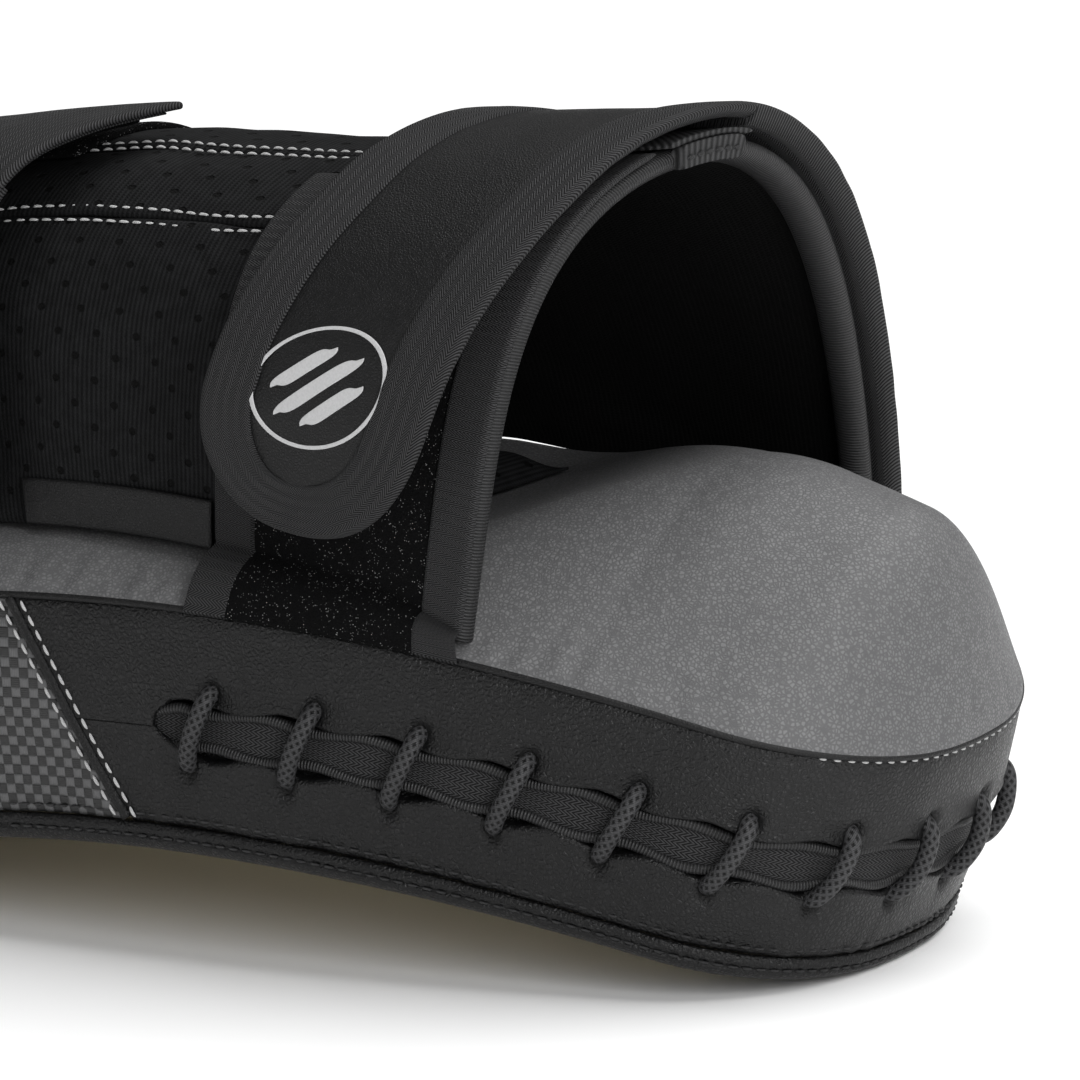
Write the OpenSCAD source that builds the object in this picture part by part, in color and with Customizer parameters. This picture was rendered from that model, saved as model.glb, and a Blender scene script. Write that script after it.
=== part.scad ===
// Arm-worn kick shield: a bent foam pad with a laced leather side wall, a padded back with an
// elbow hump, an arm tunnel under two hook-and-loop straps, and a rigid hand grip.
// +X points to the elbow end, +Y across the pad, +Z away from the striking face; the origin is on
// the floor under the pad's middle.

/* [Pad] */
// Length along the bend from the crown to the elbow end
elbow_len = 179; // [150:1:215]
// Length along the bend from the crown to the hand end
hand_len = 205; // [172:1:246]
// Width of the pad at the crown
pad_wid = 192; // [165:1:230]
// Share of its half width that the pad loses towards the elbow end
elbow_taper = 0.37; // [0.3:0.01:0.44]
// Share of its half width that the pad loses towards the hand end
hand_taper = 0.12; // [0.1:0.01:0.15]
// Length of the rounding at each end
end_round = 45; // [38:1:54]
// Squareness of the rounding at each end
end_power = 2.4; // [2:0.1:2.9]
// Bend radius at the lower seam
bend_r = 534; // [450:2:640]
// Height of the side wall between its two seams
wall_h = 62; // [52:1:74]
// Depth of the striking face below the lower seam
roll = 9; // [7.5:0.5:11]
// Outward bulge of the side wall
bulge = 2; // [1.6:0.1:2.4]
// Leather thickness
leather = 2.5; // [2:0.1:3]

/* [Back] */
// Height of the back's puff above the upper seam
puff = 14; // [11.5:0.5:17]
// Height of the elbow hump above the upper seam
hump = 52; // [43:1:62]
// Run-in from the side seam to the top of the puff
puff_run = 30; // [25:1:36]
// Run-in from the side seam to the top of the hump
hump_run = 90; // [75:1:108]
// Run-in from the elbow end to the top of the hump
hump_end = 36; // [30:1:43]
// Thickness of the forearm rest
rest_t = 8; // [6:0.5:10]

/* [Arm tunnel] */
// Half width of the sleeve at the elbow end
arm_w = 74; // [64:1:80]
// Height of the sleeve above the pad's lower seam at the elbow end
arm_top = 203; // [175:1:235]
// Loss of half width from the elbow strap to the wrist strap
arm_taper = 11; // [9:1:13]
// Loss of height from the elbow strap to the wrist strap
arm_drop = 25; // [21:1:30]
// Sideways lean of the tunnel at the elbow end
arm_lean = 16; // [13:1:19]
// Sideways skew of the straps and the tunnel's mouth
skew = 0.2; // [0.16:0.01:0.24]
// Sleeve fabric thickness
sleeve_t = 3.5; // [3:0.1:4.2]
// Thickness of the loop panels
loop_t = 2.6; // [2.2:0.1:3.1]
// Thickness of the elbow strap
strap_t = 7; // [5.8:0.2:8.4]
// Thickness of the wrist strap
strap_b_t = 5; // [4.2:0.2:6]
// Width of the elbow strap's loop panel
loop_w = 75; // [70:1:90]
// Width of the elbow strap
strap_a_w = 62; // [54:1:70]
// Width of the wrist strap
strap_b_w = 60; // [50:1:64]

/* [Lacing] */
// Lace diameter
lace_d = 5.2; // [4.4:0.1:5.8]
// Distance between laces along the wall
lace_pitch = 29.8; // [25:0.1:35]
// Height of the lacing slot at its widest
slot_h = 13.2; // [11:0.1:14.6]
// Height of the lacing slot under a lace
slot_pinch = 9; // [7.6:0.1:10.5]

/* [Hand grip] */
// Diameter of the grip bar's core
grip_core_d = 22; // [19:0.5:26]
// Diameter over the grip's wrap
grip_d = 34; // [31:0.5:40]
// Length of the grip between its tabs
grip_len = 112; // [95:1:125]
// Height of the grip's axis above the upper seam
grip_rise = 64; // [60:1:76]
// Thickness of a grip tab
tab_t = 5; // [4.2:0.1:6]
// Width of a grip tab
tab_w = 40; // [34:1:46]
// Rivet shank diameter
rivet_d = 5; // [4.2:0.1:6]

/* [Hidden] */
$fn = 48;
half_wid = pad_wid / 2;
gap = 0.3;
near = -1;
far = 1;
// The pad rests on both ends: it leans by lean degrees and its middle stands ground above the floor
lean = (hand_len - elbow_len) / 2 / bend_r * 180 / PI;
foot_in = 5;
foot_drop = 0.95 * roll;
ground = bend_r - (bend_r - foot_drop) * cos(((hand_len + elbow_len) / 2 - foot_in) / bend_r * 180 / PI);

// A point at arc length s, across t and height n, in the bent pad's own directions
function bend_angle(s) = s / bend_r * 180 / PI + lean;
function bend(s, t, n) = let (a = bend_angle(s))
    [(bend_r + n) * sin(a), t, (bend_r + n) * cos(a) - bend_r + ground];
function smooth(x) = let (c = max(0, min(1, x))) c * c * (3 - 2 * c);
function quarter(x) = sin(90 * max(0, min(1, x)));
function mix(a, b, f) = a + (b - a) * f;

// ---- solids from rows of points -------------------------------------------------------------

// A closed skin over rows of equal length; each row is a closed loop, paired first to last
module skin(rows, ring = false) {
    m = len(rows[0]);
    k = len(rows);
    sides = [for (i = [0 : ring ? k - 1 : k - 2], j = [0 : m - 1])
        let (a = i * m + j, b = i * m + (j + 1) % m)
        let (c = ((i + 1) % k) * m + (j + 1) % m, d = ((i + 1) % k) * m + j)
        each [[a, c, b], [a, d, c]]];
    half = floor(m / 2);
    caps = ring ? [] : [for (e = [0, (k - 1) * m], j = [0 : half - 2])
        let (a = e + j, b = e + j + 1, c = e + m - 2 - j, d = e + m - 1 - j)
        each (e == 0 ? [[a, b, c], [a, c, d]] : [[a, c, b], [a, d, c]])];
    polyhedron(points = [for (r = rows) each r], faces = concat(sides, caps));
}

// A loop made from an outer row and an inner row
function pair(upper, lower) = concat(upper, [for (i = [len(lower) - 1 : -1 : 0]) lower[i]]);

// ---- the pad's plan ---------------------------------------------------------------------------

round_steps = 6;
straight_steps = 6;
function side_len(s) = s < 0 ? hand_len : elbow_len;
function side_taper(s) = s < 0 ? hand_taper : elbow_taper;
// Half width of the pad at s, with the whole outline moved in by inset
function half_at(s, inset = 0) = let (l = side_len(s) - inset, r = end_round - inset, a = abs(s))
    let (x = max(0, min(1, (a - l + r) / r)), w = 1 - side_taper(s) * pow(a / l, 2))
    (half_wid - inset) * w * pow(1 - pow(x, end_power), 1 / end_power);
// Stations from the crown to an end: even steps along the side, then round the end
function end_stations(l, r) = concat([for (i = [0 : straight_steps - 1]) (l - r) * i / straight_steps],
    [for (i = [0 : round_steps]) l - r + r * pow(sin(90 * i / round_steps), 2 / end_power)]);
function plan_stations(inset) =
    let (h = end_stations(hand_len - inset, end_round - inset))
    let (e = end_stations(elbow_len - inset, end_round - inset))
    concat([for (i = [len(h) - 1 : -1 : 1]) -h[i]], e);
// The last stations keep a short straight edge
end_flat = 6;
function half_here(s, inset) = max(end_flat, half_at(s, inset));

function plan_ring(inset, n) = let (st = plan_stations(inset)) concat(
    [for (v = st) bend(v, -half_here(v, inset), n)],
    [for (i = [len(st) - 1 : -1 : 0]) bend(st[i], half_here(st[i], inset), n)]);
// Layers of the pad: each level is [inset from the outline, height]
module layers(levels) skin([for (v = levels) plan_ring(v[0], v[1])]);

// ---- paths around the side wall ---------------------------------------------------------------

// The outline from the crown's near side, round one end, to the crown's far side
function end_outline(l, dir) = let (st = [for (i = [0 : 40]) l - end_round + end_round * sin(90 * i / 40)])
    let (q = concat([for (i = [0 : 20]) [(l - end_round) * i / 21, half_at(dir * (l - end_round) * i / 21)]],
        [for (v = st) [v, half_at(dir * v)]]))
    concat([for (p = q) [p[0], -p[1]]], [for (i = [len(q) - 2 : -1 : 0]) q[i]]);
function run_sums(p) = [for (i = 0, d = 0; i < len(p); d = d + (i + 1 < len(p) ? norm(p[i + 1] - p[i]) : 0), i = i + 1) d];
elbow_path = end_outline(elbow_len, 1);
elbow_sums = run_sums(elbow_path);
hand_path = end_outline(hand_len, -1);
hand_sums = run_sums(hand_path);
wall_run = elbow_sums[len(elbow_sums) - 1];
hand_run = hand_sums[len(hand_sums) - 1];
elbow_s = [for (i = [0 : len(elbow_path) - 1]) [elbow_sums[i], elbow_path[i][0]]];
elbow_t = [for (i = [0 : len(elbow_path) - 1]) [elbow_sums[i], elbow_path[i][1]]];
hand_s = [for (i = [0 : len(hand_path) - 1]) [hand_sums[i], hand_path[i][0]]];
hand_t = [for (i = [0 : len(hand_path) - 1]) [hand_sums[i], hand_path[i][1]]];
// Plan position and outward direction at distance u along such a path; before the crown the side
// is taken as straight
function trace(u, ts, tt) = let (d = 4, p = [lookup(u, ts), lookup(u, tt)])
    let (v = [lookup(u + d, ts) - lookup(u - d, ts), lookup(u + d, tt) - lookup(u - d, tt)] / 2, w = v / norm(v))
    [p[0], p[1], w[1], -w[0]];
function around(u) = u < 0 ? [u, -half_at(u), 0, -1] : u > wall_run ? [wall_run - u, half_at(wall_run - u), 0, 1] :
    trace(u, elbow_s, elbow_t);
function wall_point(u, out, n) = let (p = around(u)) bend(p[0] + out * p[2], p[1] + out * p[3], n);
function hand_point(u, out, n) = let (p = trace(u, hand_s, hand_t))
    bend(-(p[0] + out * p[2]), p[1] + out * p[3], n);
function wall_out(n) = bulge * sin(180 * max(0, min(1, n / wall_h)));

// The slanted seams between the leather wall and the woven side panel
diag_top = -53;
diag_foot = -20;
hand_shift = 176;
function diag_at(n) = mix(diag_foot, diag_top, n / wall_h);
piping_r = 1.5;

// The lacing slot
slot_mid = 0.46 * wall_h;
slot_start = -16;
first_lace = 6.5;
lace_slant = 0.22 * lace_pitch;
hole_up = 0.63 * wall_h;
hole_down = 0.29 * wall_h;
laces = floor((wall_run - 2 * first_lace) / lace_pitch) + 1;
lace_deep = leather + gap + 1.2 + 1.2 + gap + lace_d / 2 + gap;
core_in = lace_deep + lace_d / 2 + 2.5;
// Half height of the slot at u, pinched at each lace
function slot_half(u) = let (v = min(u, wall_run - u) - slot_start + 6)
    v <= 0 ? gap / 2 :
    let (open = min(1, sqrt(v / 8)), w = (1 + cos(360 * (u - first_lace) / lace_pitch)) / 2)
    gap / 2 + open * mix(slot_h, slot_pinch, w) / 2;

// One leather band of the wall between the heights given by low(u) and high(u)
module wall_band(upper) {
    steps = 48;
    u0 = slot_start;
    skin([for (i = [-1 : steps + 1])
        let (u = mix(u0, wall_run - u0, max(0, min(steps, i)) / steps))
        let (lo = upper ? slot_mid + slot_half(u) : 0.2)
        let (hi = upper ? wall_h - 0.2 : slot_mid - slot_half(u))
        let (ns = [for (k = [0 : 3]) mix(lo, hi, k / 3)])
        let (start = piping_r + 0.2)
        pair([for (n = ns) wall_point(i < 0 ? diag_at(n) + start :
                i > steps ? wall_run - diag_at(n) - start : u, wall_out(n), n)],
            [for (n = ns) wall_point(i < 0 ? diag_at(n) + start :
                i > steps ? wall_run - diag_at(n) - start : u, wall_out(n) - leather, n)])]);
}

module wall_upper() color("#1b1b1c") wall_band(true);
module wall_lower() color("#1d1d1e") wall_band(false);

// The plain wall round the hand end
module wall_hand() color("#1c1c1d") {
    steps = 30;
    ns = [for (k = [0 : 5]) mix(0.2, wall_h - 0.2, k / 5)];
    edge = hand_shift + piping_r + 0.2;
    u0 = edge + diag_foot + 4;
    skin([for (i = [-1 : steps + 1]) pair(
        [for (n = ns) hand_point(i < 0 ? edge + diag_at(n) : i > steps ? hand_run - edge - diag_at(n) :
            mix(u0, hand_run - u0, i / steps), wall_out(n), n)],
        [for (n = ns) hand_point(i < 0 ? edge + diag_at(n) : i > steps ? hand_run - edge - diag_at(n) :
            mix(u0, hand_run - u0, i / steps), wall_out(n) - leather, n)])]);
}

// A point of a side wall at s, out beyond the outline, at height n
function side_point(side, s, out, n) = bend(s, side * (half_at(s) + out), n);
// The woven panel in the middle of a side
module weave_panel(side) color("#2a2a2c") {
    steps = 10;
    ns = [for (k = [0 : 5]) mix(0.2, wall_h - 0.2, k / 5)];
    edge = piping_r + 0.2;
    skin([for (i = [0 : steps])
        let (at = [for (n = ns) mix(-hand_shift - diag_at(n) + edge, diag_at(n) - edge, i / steps)])
        pair([for (k = [0 : 5]) side_point(side, at[k], wall_out(ns[k]), ns[k])],
            [for (k = [0 : 5]) side_point(side, at[k], wall_out(ns[k]) - leather, ns[k])])]);
}

// Piping along a slanted seam; end is 1 at the elbow side and -1 at the hand side
module diag_piping(side, end) color("#101011")
    skin([for (k = [0 : 6])
        let (n = mix(1, wall_h - 1, k / 6), s = end > 0 ? diag_at(n) : -hand_shift - diag_at(n))
        [for (a = [0 : 45 : 315]) side_point(side, s + piping_r * cos(a),
            wall_out(n) - leather / 2 + piping_r * sin(a), n)]]);

// A strip that runs behind the lacing slot between two heights and two depths
module slot_strip(n0, n1, out0, out1) {
    steps = 30;
    skin([for (i = [0 : steps]) let (u = mix(slot_start, wall_run - slot_start, i / steps))
        [wall_point(u, out0, n0), wall_point(u, out0, n1), wall_point(u, out1, n1), wall_point(u, out1, n0)]]);
}
rib_out = -leather - gap;
tongue_h = hole_up - hole_down - lace_d - 1;
web_h = 7;
rib_low = web_h / 2 + 0.4;
rib_h = 2.6;
module lace_tongue() color("#151515")
    slot_strip(slot_mid - tongue_h / 2, slot_mid + tongue_h / 2, rib_out - 2.6, rib_out - 1.5);
module lace_webbing() color("#232324") slot_strip(slot_mid - web_h / 2, slot_mid + web_h / 2, rib_out - 1.3, rib_out);
module lace_rib_upper() color("#1f1f20") slot_strip(slot_mid + rib_low, slot_mid + rib_low + rib_h, rib_out - 1.3, rib_out);
module lace_rib_lower() color("#1f1f20") slot_strip(slot_mid - rib_low - rib_h, slot_mid - rib_low, rib_out - 1.3, rib_out);

// The lace winds over the slot and back behind it, once per hole
lace_side = wall_out(slot_mid) + lace_d / 2 + 0.4;
lace_route = [for (k = [0 : laces - 1]) let (u = first_lace + k * lace_pitch)
    each [[u - lace_slant, -lace_deep, hole_down], [u - 0.8 * lace_slant, lace_side - 1, hole_down + 2],
        [u - lace_slant / 2, lace_side + 0.6, slot_mid], [u - 0.1 * lace_slant, lace_side - 1, hole_up - 1],
        [u, -lace_deep, hole_up + 0.5]]];
module side_lace() color("#3a3a3c") {
    pts = [for (p = lace_route) wall_point(p[0], p[1], p[2])];
    skin([for (i = [0 : len(pts) - 1])
        let (d = pts[min(i + 1, len(pts) - 1)] - pts[max(i - 1, 0)], w = d / norm(d))
        let (p = around(lace_route[i][0]), a = lace_route[i][0])
        let (ref = wall_point(a + 5, 0, slot_mid) - wall_point(a - 5, 0, slot_mid), x0 = cross(w, ref))
        let (x = x0 / norm(x0), y = cross(w, x))
        [for (q = [0 : 45 : 315]) pts[i] + lace_d / 2 * (cos(q) * x + sin(q) * y)]]);
}

// ---- foam and covers ---------------------------------------------------------------------------

foam_in = leather + 0.6;
module core_strike() color("#c8b98a")
    layers([[foam_in + 4, -roll + leather + 0.3], [foam_in, -roll / 2], [foam_in, hole_down - lace_d / 2 - 0.8]]);
module core_middle() color("#d8cfa8")
    layers([[core_in, hole_down - lace_d / 2 - 0.6], [core_in, hole_up + lace_d / 2 + 1]]);
module core_back() color("#c8b98a")
    layers([[foam_in, hole_up + lace_d / 2 + 1.2], [foam_in, wall_h - 0.1]]);
module strike_cover() color("#161617")
    layers([[foam_in + 8, -roll + leather], [foam_in + 3.4, -roll + leather - 0.1],
        [foam_in - 0.2, -roll / 2], [leather, -0.1], [0, -0.1], [-0.6, -roll / 3],
        [1.5, -0.72 * roll], [foot_in, -foot_drop], [11, -roll]]);

// Height of the back cover's outer face
rim = 0.8;
hump_start = 20;
hump_rise = 100;
function hump_share(s) = smooth((s - hump_start) / hump_rise);
function back_n(s, t) = let (f = hump_share(s)) wall_h + rim
    + mix(puff, hump, f) * quarter((half_at(s) - abs(t)) / max(1, min(half_at(s), mix(puff_run, hump_run, f))))
    * quarter((elbow_len - s) / mix(puff_run, hump_end, f)) * quarter((hand_len + s) / puff_run);
across = [for (i = [-6 : 6]) sin(15 * i)];
function dome_row(s, inset, drop, floor_n) =
    [for (f = across) let (t = f * half_here(s, inset)) bend(s, t, max(floor_n, back_n(s, t) - drop))];
dome_in = 12;
dome_under = leather + 3;
module core_dome() color("#d9cfa9")
    skin([for (s = plan_stations(dome_in)) pair(dome_row(s, dome_in, 10 * hump, wall_h + 0.1),
        dome_row(s, dome_in, dome_under, wall_h + 0.4))]);
module back_cover() color("#8a8a8a")
    skin([for (s = plan_stations(0)) pair(dome_row(s, 0, leather, wall_h + 0.2), dome_row(s, 0, 0, 0))]);

// ---- the arm tunnel ----------------------------------------------------------------------------

// Stations along the tunnel are taken on the pad's near edge; across the pad they run on by the skew
mouth_s = 72.5;
mid_s = -50;
sleeve_hand_s = -122;
function lay(s, p) = bend(s + skew * (p[0] + half_wid), p[0], p[1]);
function back_under(s, t) = back_n(s + skew * (t + half_wid), t);
// Share of the way from the wrist strap to the tunnel's mouth; negative towards the hand
function reach(s) = (s - mid_s) / (mouth_s - mid_s);
lean_change = 4;
function arm_mid(s) = -mix(arm_lean - lean_change, arm_lean, reach(s));
function arm_half(s) = mix(arm_w - arm_taper, arm_w, reach(s));
// The tunnel's top stays level along the sleeve and climbs towards its mouth
climb = 2.4;
hand_slope = 0.4;
function arm_high(s) = arm_top - arm_drop
    + arm_drop * (pow(max(0, reach(s)), climb) + hand_slope * min(0, reach(s)));
flare = 22;
near_power = 0.5;
far_power = 0.85;
near_foot_gap = 0.8;
far_foot_gap = 4;
// One point of the sleeve's outer face; a runs from 0 at the near foot to 180 at the far foot
function arch(s, a) = let (k = sin(a), c = arm_mid(s), w = arm_half(s)) a < 90 ?
    let (foot = back_under(s, c - w + 5) + near_foot_gap)
        [c - w * cos(a), mix(foot, arm_high(s), pow(k, near_power))] :
    let (foot = back_under(s, c + w + flare - 5) + far_foot_gap)
        [c - w * cos(a) + flare * pow(1 - k, 2.5), mix(foot, arm_high(s), pow(k, far_power))];
// The same point moved out by d along the face's normal
function arch_out(s, a, d) = let (p = arch(s, max(0, a - 1)), q = arch(s, min(180, a + 1)), v = q - p)
    arch(s, a) + d * [-v[1], v[0]] / norm(v);
// Even spacing that is finer near the feet
function arch_angle(f) = 180 * (f * f * (3 - 2 * f));
// A row of points along the tunnel from s0 to s1
function arch_row(s0, s1, a, d, along) = [for (j = [0 : along]) let (s = mix(s0, s1, j / along))
    lay(s, arch_out(s, a, d))];
// A shell over the arch from share f0 to f1, between the offsets d0 and d1, from s0 to s1
module arch_shell(s0, s1, f0, f1, d0, d1, along, around_n)
    skin([for (i = [0 : around_n]) let (a = arch_angle(mix(f0, f1, i / around_n)))
        pair(arch_row(s0, s1, a, d0, along), arch_row(s0, s1, a, d1, along))]);

seam_near = 0.33;
seam_top = 0.45;
sleeve_end = mouth_s - 7;
module sleeve_near() color("#2b2d2f")
    arch_shell(sleeve_hand_s, sleeve_end, 0, seam_near, -sleeve_t, 0, 9, 9);
module sleeve_shoulder() color("#2e3032")
    arch_shell(sleeve_hand_s, sleeve_end, seam_near + 0.002, seam_top, -sleeve_t, 0, 9, 4);
module sleeve_far() color("#2b2d2f")
    arch_shell(sleeve_hand_s, sleeve_end, seam_top + 0.002, 1, -sleeve_t, 0, 9, 13);
// Hem strips that cover the sleeve's feet
module sleeve_hem(f0, f1) color("#141414")
    arch_shell(strap_b_elbow_s + 2, loop_hand_s - 2, f0, f1, 0.1, 1.6, 4, 3);
// Rounded binding on the sleeve's elbow edge
bind_r = 3.6;
module cuff_binding() color("#3c3c3e")
    skin([for (i = [0 : 22]) let (a = arch_angle(i / 22))
        [for (q = [0 : 45 : 315]) let (s = sleeve_end + gap + bind_r + bind_r * cos(q))
            lay(s, arch_out(s, a, -bind_r + 0.3 + bind_r * sin(q)))]]);
module keeper_tab() color("#2c2c2d")
    arch_shell(mouth_s - 9, mouth_s + 1.5, 0.445, 0.53, 0.9, 2.6, 2, 4);

// Forearm rest on the tunnel's floor
rest_s0 = -112;
rest_s1 = 15;
rest_half = 44;
function rest_row(s, lift) = [for (f = across)
    let (t = arm_mid(s) + 4 + f * rest_half, e = min(s - rest_s0, rest_s1 - s))
    let (soft = quarter(rest_half * (1 - abs(f)) / 12) * quarter(e / 12))
    lay(s, [t, back_under(s, t) + 1.5 + lift * (1 + rest_t * soft)])];
module forearm_rest() color("#1a1a1b")
    skin([for (i = [0 : 12]) let (s = mix(rest_s0, rest_s1, (1 - cos(15 * i)) / 2))
        pair(rest_row(s, 0), rest_row(s, 1))]);

// ---- elbow strap --------------------------------------------------------------------------------

strap_a_elbow_s = mouth_s + 1;
strap_a_hand_s = strap_a_elbow_s - strap_a_w;
loop_hand_s = strap_a_elbow_s - loop_w;
border_w = 12;
loop_out = 0.4;
strap_in = loop_out + loop_t + 0.6;
loop_top = 0.40;
loop_foot = 0.01;
module loop_panel_a() color("#1e1e1f")
    arch_shell(loop_hand_s + border_w + 0.2, strap_a_elbow_s - border_w - 0.2, loop_foot, loop_top,
        loop_out, loop_out + loop_t, 3, 10);
module loop_border_a_elbow() color("#2c2c2d")
    arch_shell(strap_a_elbow_s - border_w, strap_a_elbow_s, loop_foot, loop_top + 0.03,
        loop_out, loop_out + loop_t, 1, 11);
module loop_border_a_hand() color("#2c2c2d")
    arch_shell(loop_hand_s, loop_hand_s + border_w, loop_foot, loop_top, loop_out, loop_out + loop_t, 1, 10);

// Shares of the arch where the elbow strap's pieces meet and end
a_far_hinge = 0.70;
a_near_hinge = 0.36;
a_tip_end = 0.05;
tip_round = 0.11;
tip_cut = 24;
tip_lift = 9;
tip_shift = 8;
hinge_gap = 0.0015;
function tip_stand(f) = tip_lift * smooth((a_near_hinge - f) / 0.22);
function tip_slide(f) = tip_shift * smooth((a_near_hinge - f) / 0.3);
// A strap piece from share f0 up to f1; its tip is rounded and stands off the wall
function strap_a_row(f, d, inset, along) =
    let (e = min(1, max(0, (f - a_tip_end) / tip_round)), cut = tip_cut * (1 - sqrt(1 - (1 - e) * (1 - e))))
    let (move = tip_slide(f))
    arch_row(strap_a_hand_s + cut + inset - move, strap_a_elbow_s - cut - inset - move, arch_angle(f),
        d + tip_stand(f), along);
module strap_a_piece(f0, f1, d0, d1, along, around_n, inset = 0)
    skin([for (i = [0 : around_n]) let (f = mix(f0, f1, i / around_n))
        pair(strap_a_row(f, d0, inset, along), strap_a_row(f, d1, inset, along))]);
// The root's sewn foot, just outside the far seam
function root_foot(out, n) = [for (j = [0 : 4]) let (s0 = mix(strap_a_hand_s, strap_a_elbow_s, j / 4))
    let (s = s0 + skew * 2 * arm_w) bend(s, half_at(s) + out, wall_h + n)];
module strap_a_root() color("#222223")
    skin(concat([for (i = [0 : 8]) let (f = mix(a_far_hinge + hinge_gap, 0.975, i / 8))
        pair(strap_a_row(f, strap_in, 0, 4), strap_a_row(f, strap_in + strap_t, 0, 4))],
        [pair(root_foot(2.4, 1.5), root_foot(6, 2.5))]));
module strap_a_flap() color("#222223")
    strap_a_piece(a_near_hinge + hinge_gap, a_far_hinge - hinge_gap, strap_in, strap_in + strap_t, 4, 12);
hook_t = 1.6;
module strap_a_tip() color("#222223")
    strap_a_piece(a_tip_end, a_near_hinge - hinge_gap, strap_in + hook_t + 0.5, strap_in + strap_t, 4, 10);
module strap_a_hook() color("#0f0f10")
    strap_a_piece(a_tip_end + 0.07, a_near_hinge - 0.02, strap_in, strap_in + hook_t, 3, 6, 12);
badge_r = 18;
badge_f = 0.172;
badge_reach = 0.05;
function badge_row(g, d, w) = let (s0 = (strap_a_hand_s + strap_a_elbow_s) / 2 - tip_slide(g))
    arch_row(s0 - w, s0 + w, arch_angle(g), strap_in + strap_t + d + tip_stand(g), 4);
module strap_a_badge() color("#b9b9bb")
    skin([for (i = [0 : 8]) let (g = badge_f - badge_reach * cos(22.5 * i))
        let (w = badge_r * sin(max(10, min(170, 22.5 * i))))
        pair(badge_row(g, 0.15, w), badge_row(g, 0.95, w))]);

// ---- wrist strap --------------------------------------------------------------------------------

strap_b_elbow_s = -63;
skew_b = skew + 0.15;
function lay_b(s, p) = bend(s + skew_b * (p[0] + half_wid), p[0], p[1]);
strap_b_hand_s = strap_b_elbow_s - strap_b_w;
module loop_panel_b() color("#1e1e1f")
    arch_shell(strap_b_hand_s + 4, strap_b_elbow_s - 4, 0.42, 0.975, loop_out, loop_out + loop_t, 3, 14);

b_foot_t = half_wid - 5 - strap_b_t;
b_mid = 8;
b_rise = 2.6;
b_power = 0.42;
// The wrist strap's inner face is a squarer arch; a runs from 0 at the near foot to 90 at the top
function b_arch(s, a) = let (foot = back_under(s, -b_foot_t + 4) + 0.6)
    [b_mid - (b_foot_t + b_mid) * pow(max(0, cos(a)), b_power),
    mix(foot, arm_high(s) + loop_out + loop_t + b_rise, pow(sin(a), b_power))];
function b_out(s, a, d) = let (p = b_arch(s, max(0, a - 1)), q = b_arch(s, min(90, a + 1)), v = q - p)
    b_arch(s, a) + d * [-v[1], v[0]] / norm(v);
function b_angle(f) = 90 * (f * f * (3 - 2 * f));
function strap_b_row(f, d, inset) = [for (j = [0 : 3])
    let (s = mix(strap_b_hand_s + inset, strap_b_elbow_s - inset, j / 3)) lay_b(s, b_out(s, b_angle(f), d))];
module strap_b_piece(f0, f1, d0, d1, around_n, inset = 0)
    skin([for (i = [0 : around_n]) let (f = mix(f0, f1, i / around_n))
        pair(strap_b_row(f, d0, inset), strap_b_row(f, d1, inset))]);
b_foot = 0.02;
b_hinge = 0.42;
b_peel = 0.66;
b_end = 0.9;
module strap_b_root() color("#222223") strap_b_piece(b_foot, b_hinge - hinge_gap, 0, strap_b_t, 8);
module strap_b_flap() color("#222223") strap_b_piece(b_hinge + hinge_gap, b_peel - hinge_gap, 0, strap_b_t, 6);
module strap_b_tip() color("#222223") strap_b_piece(b_peel + hinge_gap, b_end, hook_t + 0.4, strap_b_t, 6);
module strap_b_hook() color("#0f0f10") strap_b_piece(b_peel + 0.02, b_end - 0.02, 0, hook_t, 4, 6);

// ---- hand grip ----------------------------------------------------------------------------------

grip_s = -165;
// Places its children in the pad's own directions at the grip
module at_grip(n) translate(bend(grip_s, 0, n)) rotate([0, bend_angle(grip_s), 0]) children();
grip_n = wall_h + grip_rise;
wrap_gap = 0.02;
module grip_core() color("#b08a5a") at_grip(grip_n) rotate([90, 0, 0]) difference() {
    cylinder(d = grip_core_d, h = grip_len, center = true);
    for (e = [-1, 1]) translate([0, 0, e * grip_len / 2]) cylinder(d = screw_d, h = 50, center = true);
}
module grip_wrap() color("#1a1a1b") at_grip(grip_n) rotate([90, 0, 0]) difference() {
    cylinder(d = grip_d, h = grip_len - 1, center = true);
    cylinder(d = grip_core_d + 2 * wrap_gap, h = grip_len + 2, center = true);
}
screw_d = 6;
tab_foot = 26;
tab_foot_n = back_n(grip_s, half_wid - puff_run - 12) + 0.6;
module grip_tab(side) color("#19191a") at_grip(0) {
    t0 = side * (grip_len / 2 + 0.2 + tab_t / 2);
    difference() {
        union() {
            translate([0, t0, grip_n]) rotate([90, 0, 0]) cylinder(d = tab_w, h = tab_t, center = true);
            translate([0, t0, (grip_n + tab_foot_n) / 2]) cube([tab_w, tab_t, grip_n - tab_foot_n], center = true);
            translate([0, t0 - side * (tab_foot + tab_t) / 2, tab_foot_n + tab_t / 2])
                cube([tab_w, tab_foot + 2 * tab_t, tab_t], center = true);
        }
        translate([0, t0, grip_n]) rotate([90, 0, 0]) cylinder(d = screw_d + 0.04, h = 3 * tab_t, center = true);
        for (e = [-1, 1]) translate([e * tab_w / 4, t0 - side * (tab_foot / 2 + tab_t), tab_foot_n])
            cylinder(d = rivet_d + 0.04, h = 4 * tab_t, center = true);
    }
}
module grip_screw(side) color("#c9c9cc") at_grip(grip_n) {
    t0 = side * (grip_len / 2 + 0.2 + tab_t + 0.1);
    translate([0, t0, 0]) rotate([-side * 90, 0, 0]) {
        cylinder(d = 14, h = 1.6);
        translate([0, 0, 1.6]) cylinder(d1 = 14, d2 = 9, h = 1.4);
        translate([0, 0, -tab_t - 20]) cylinder(d = screw_d - 0.04, h = tab_t + 20.5);
    }
}
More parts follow.
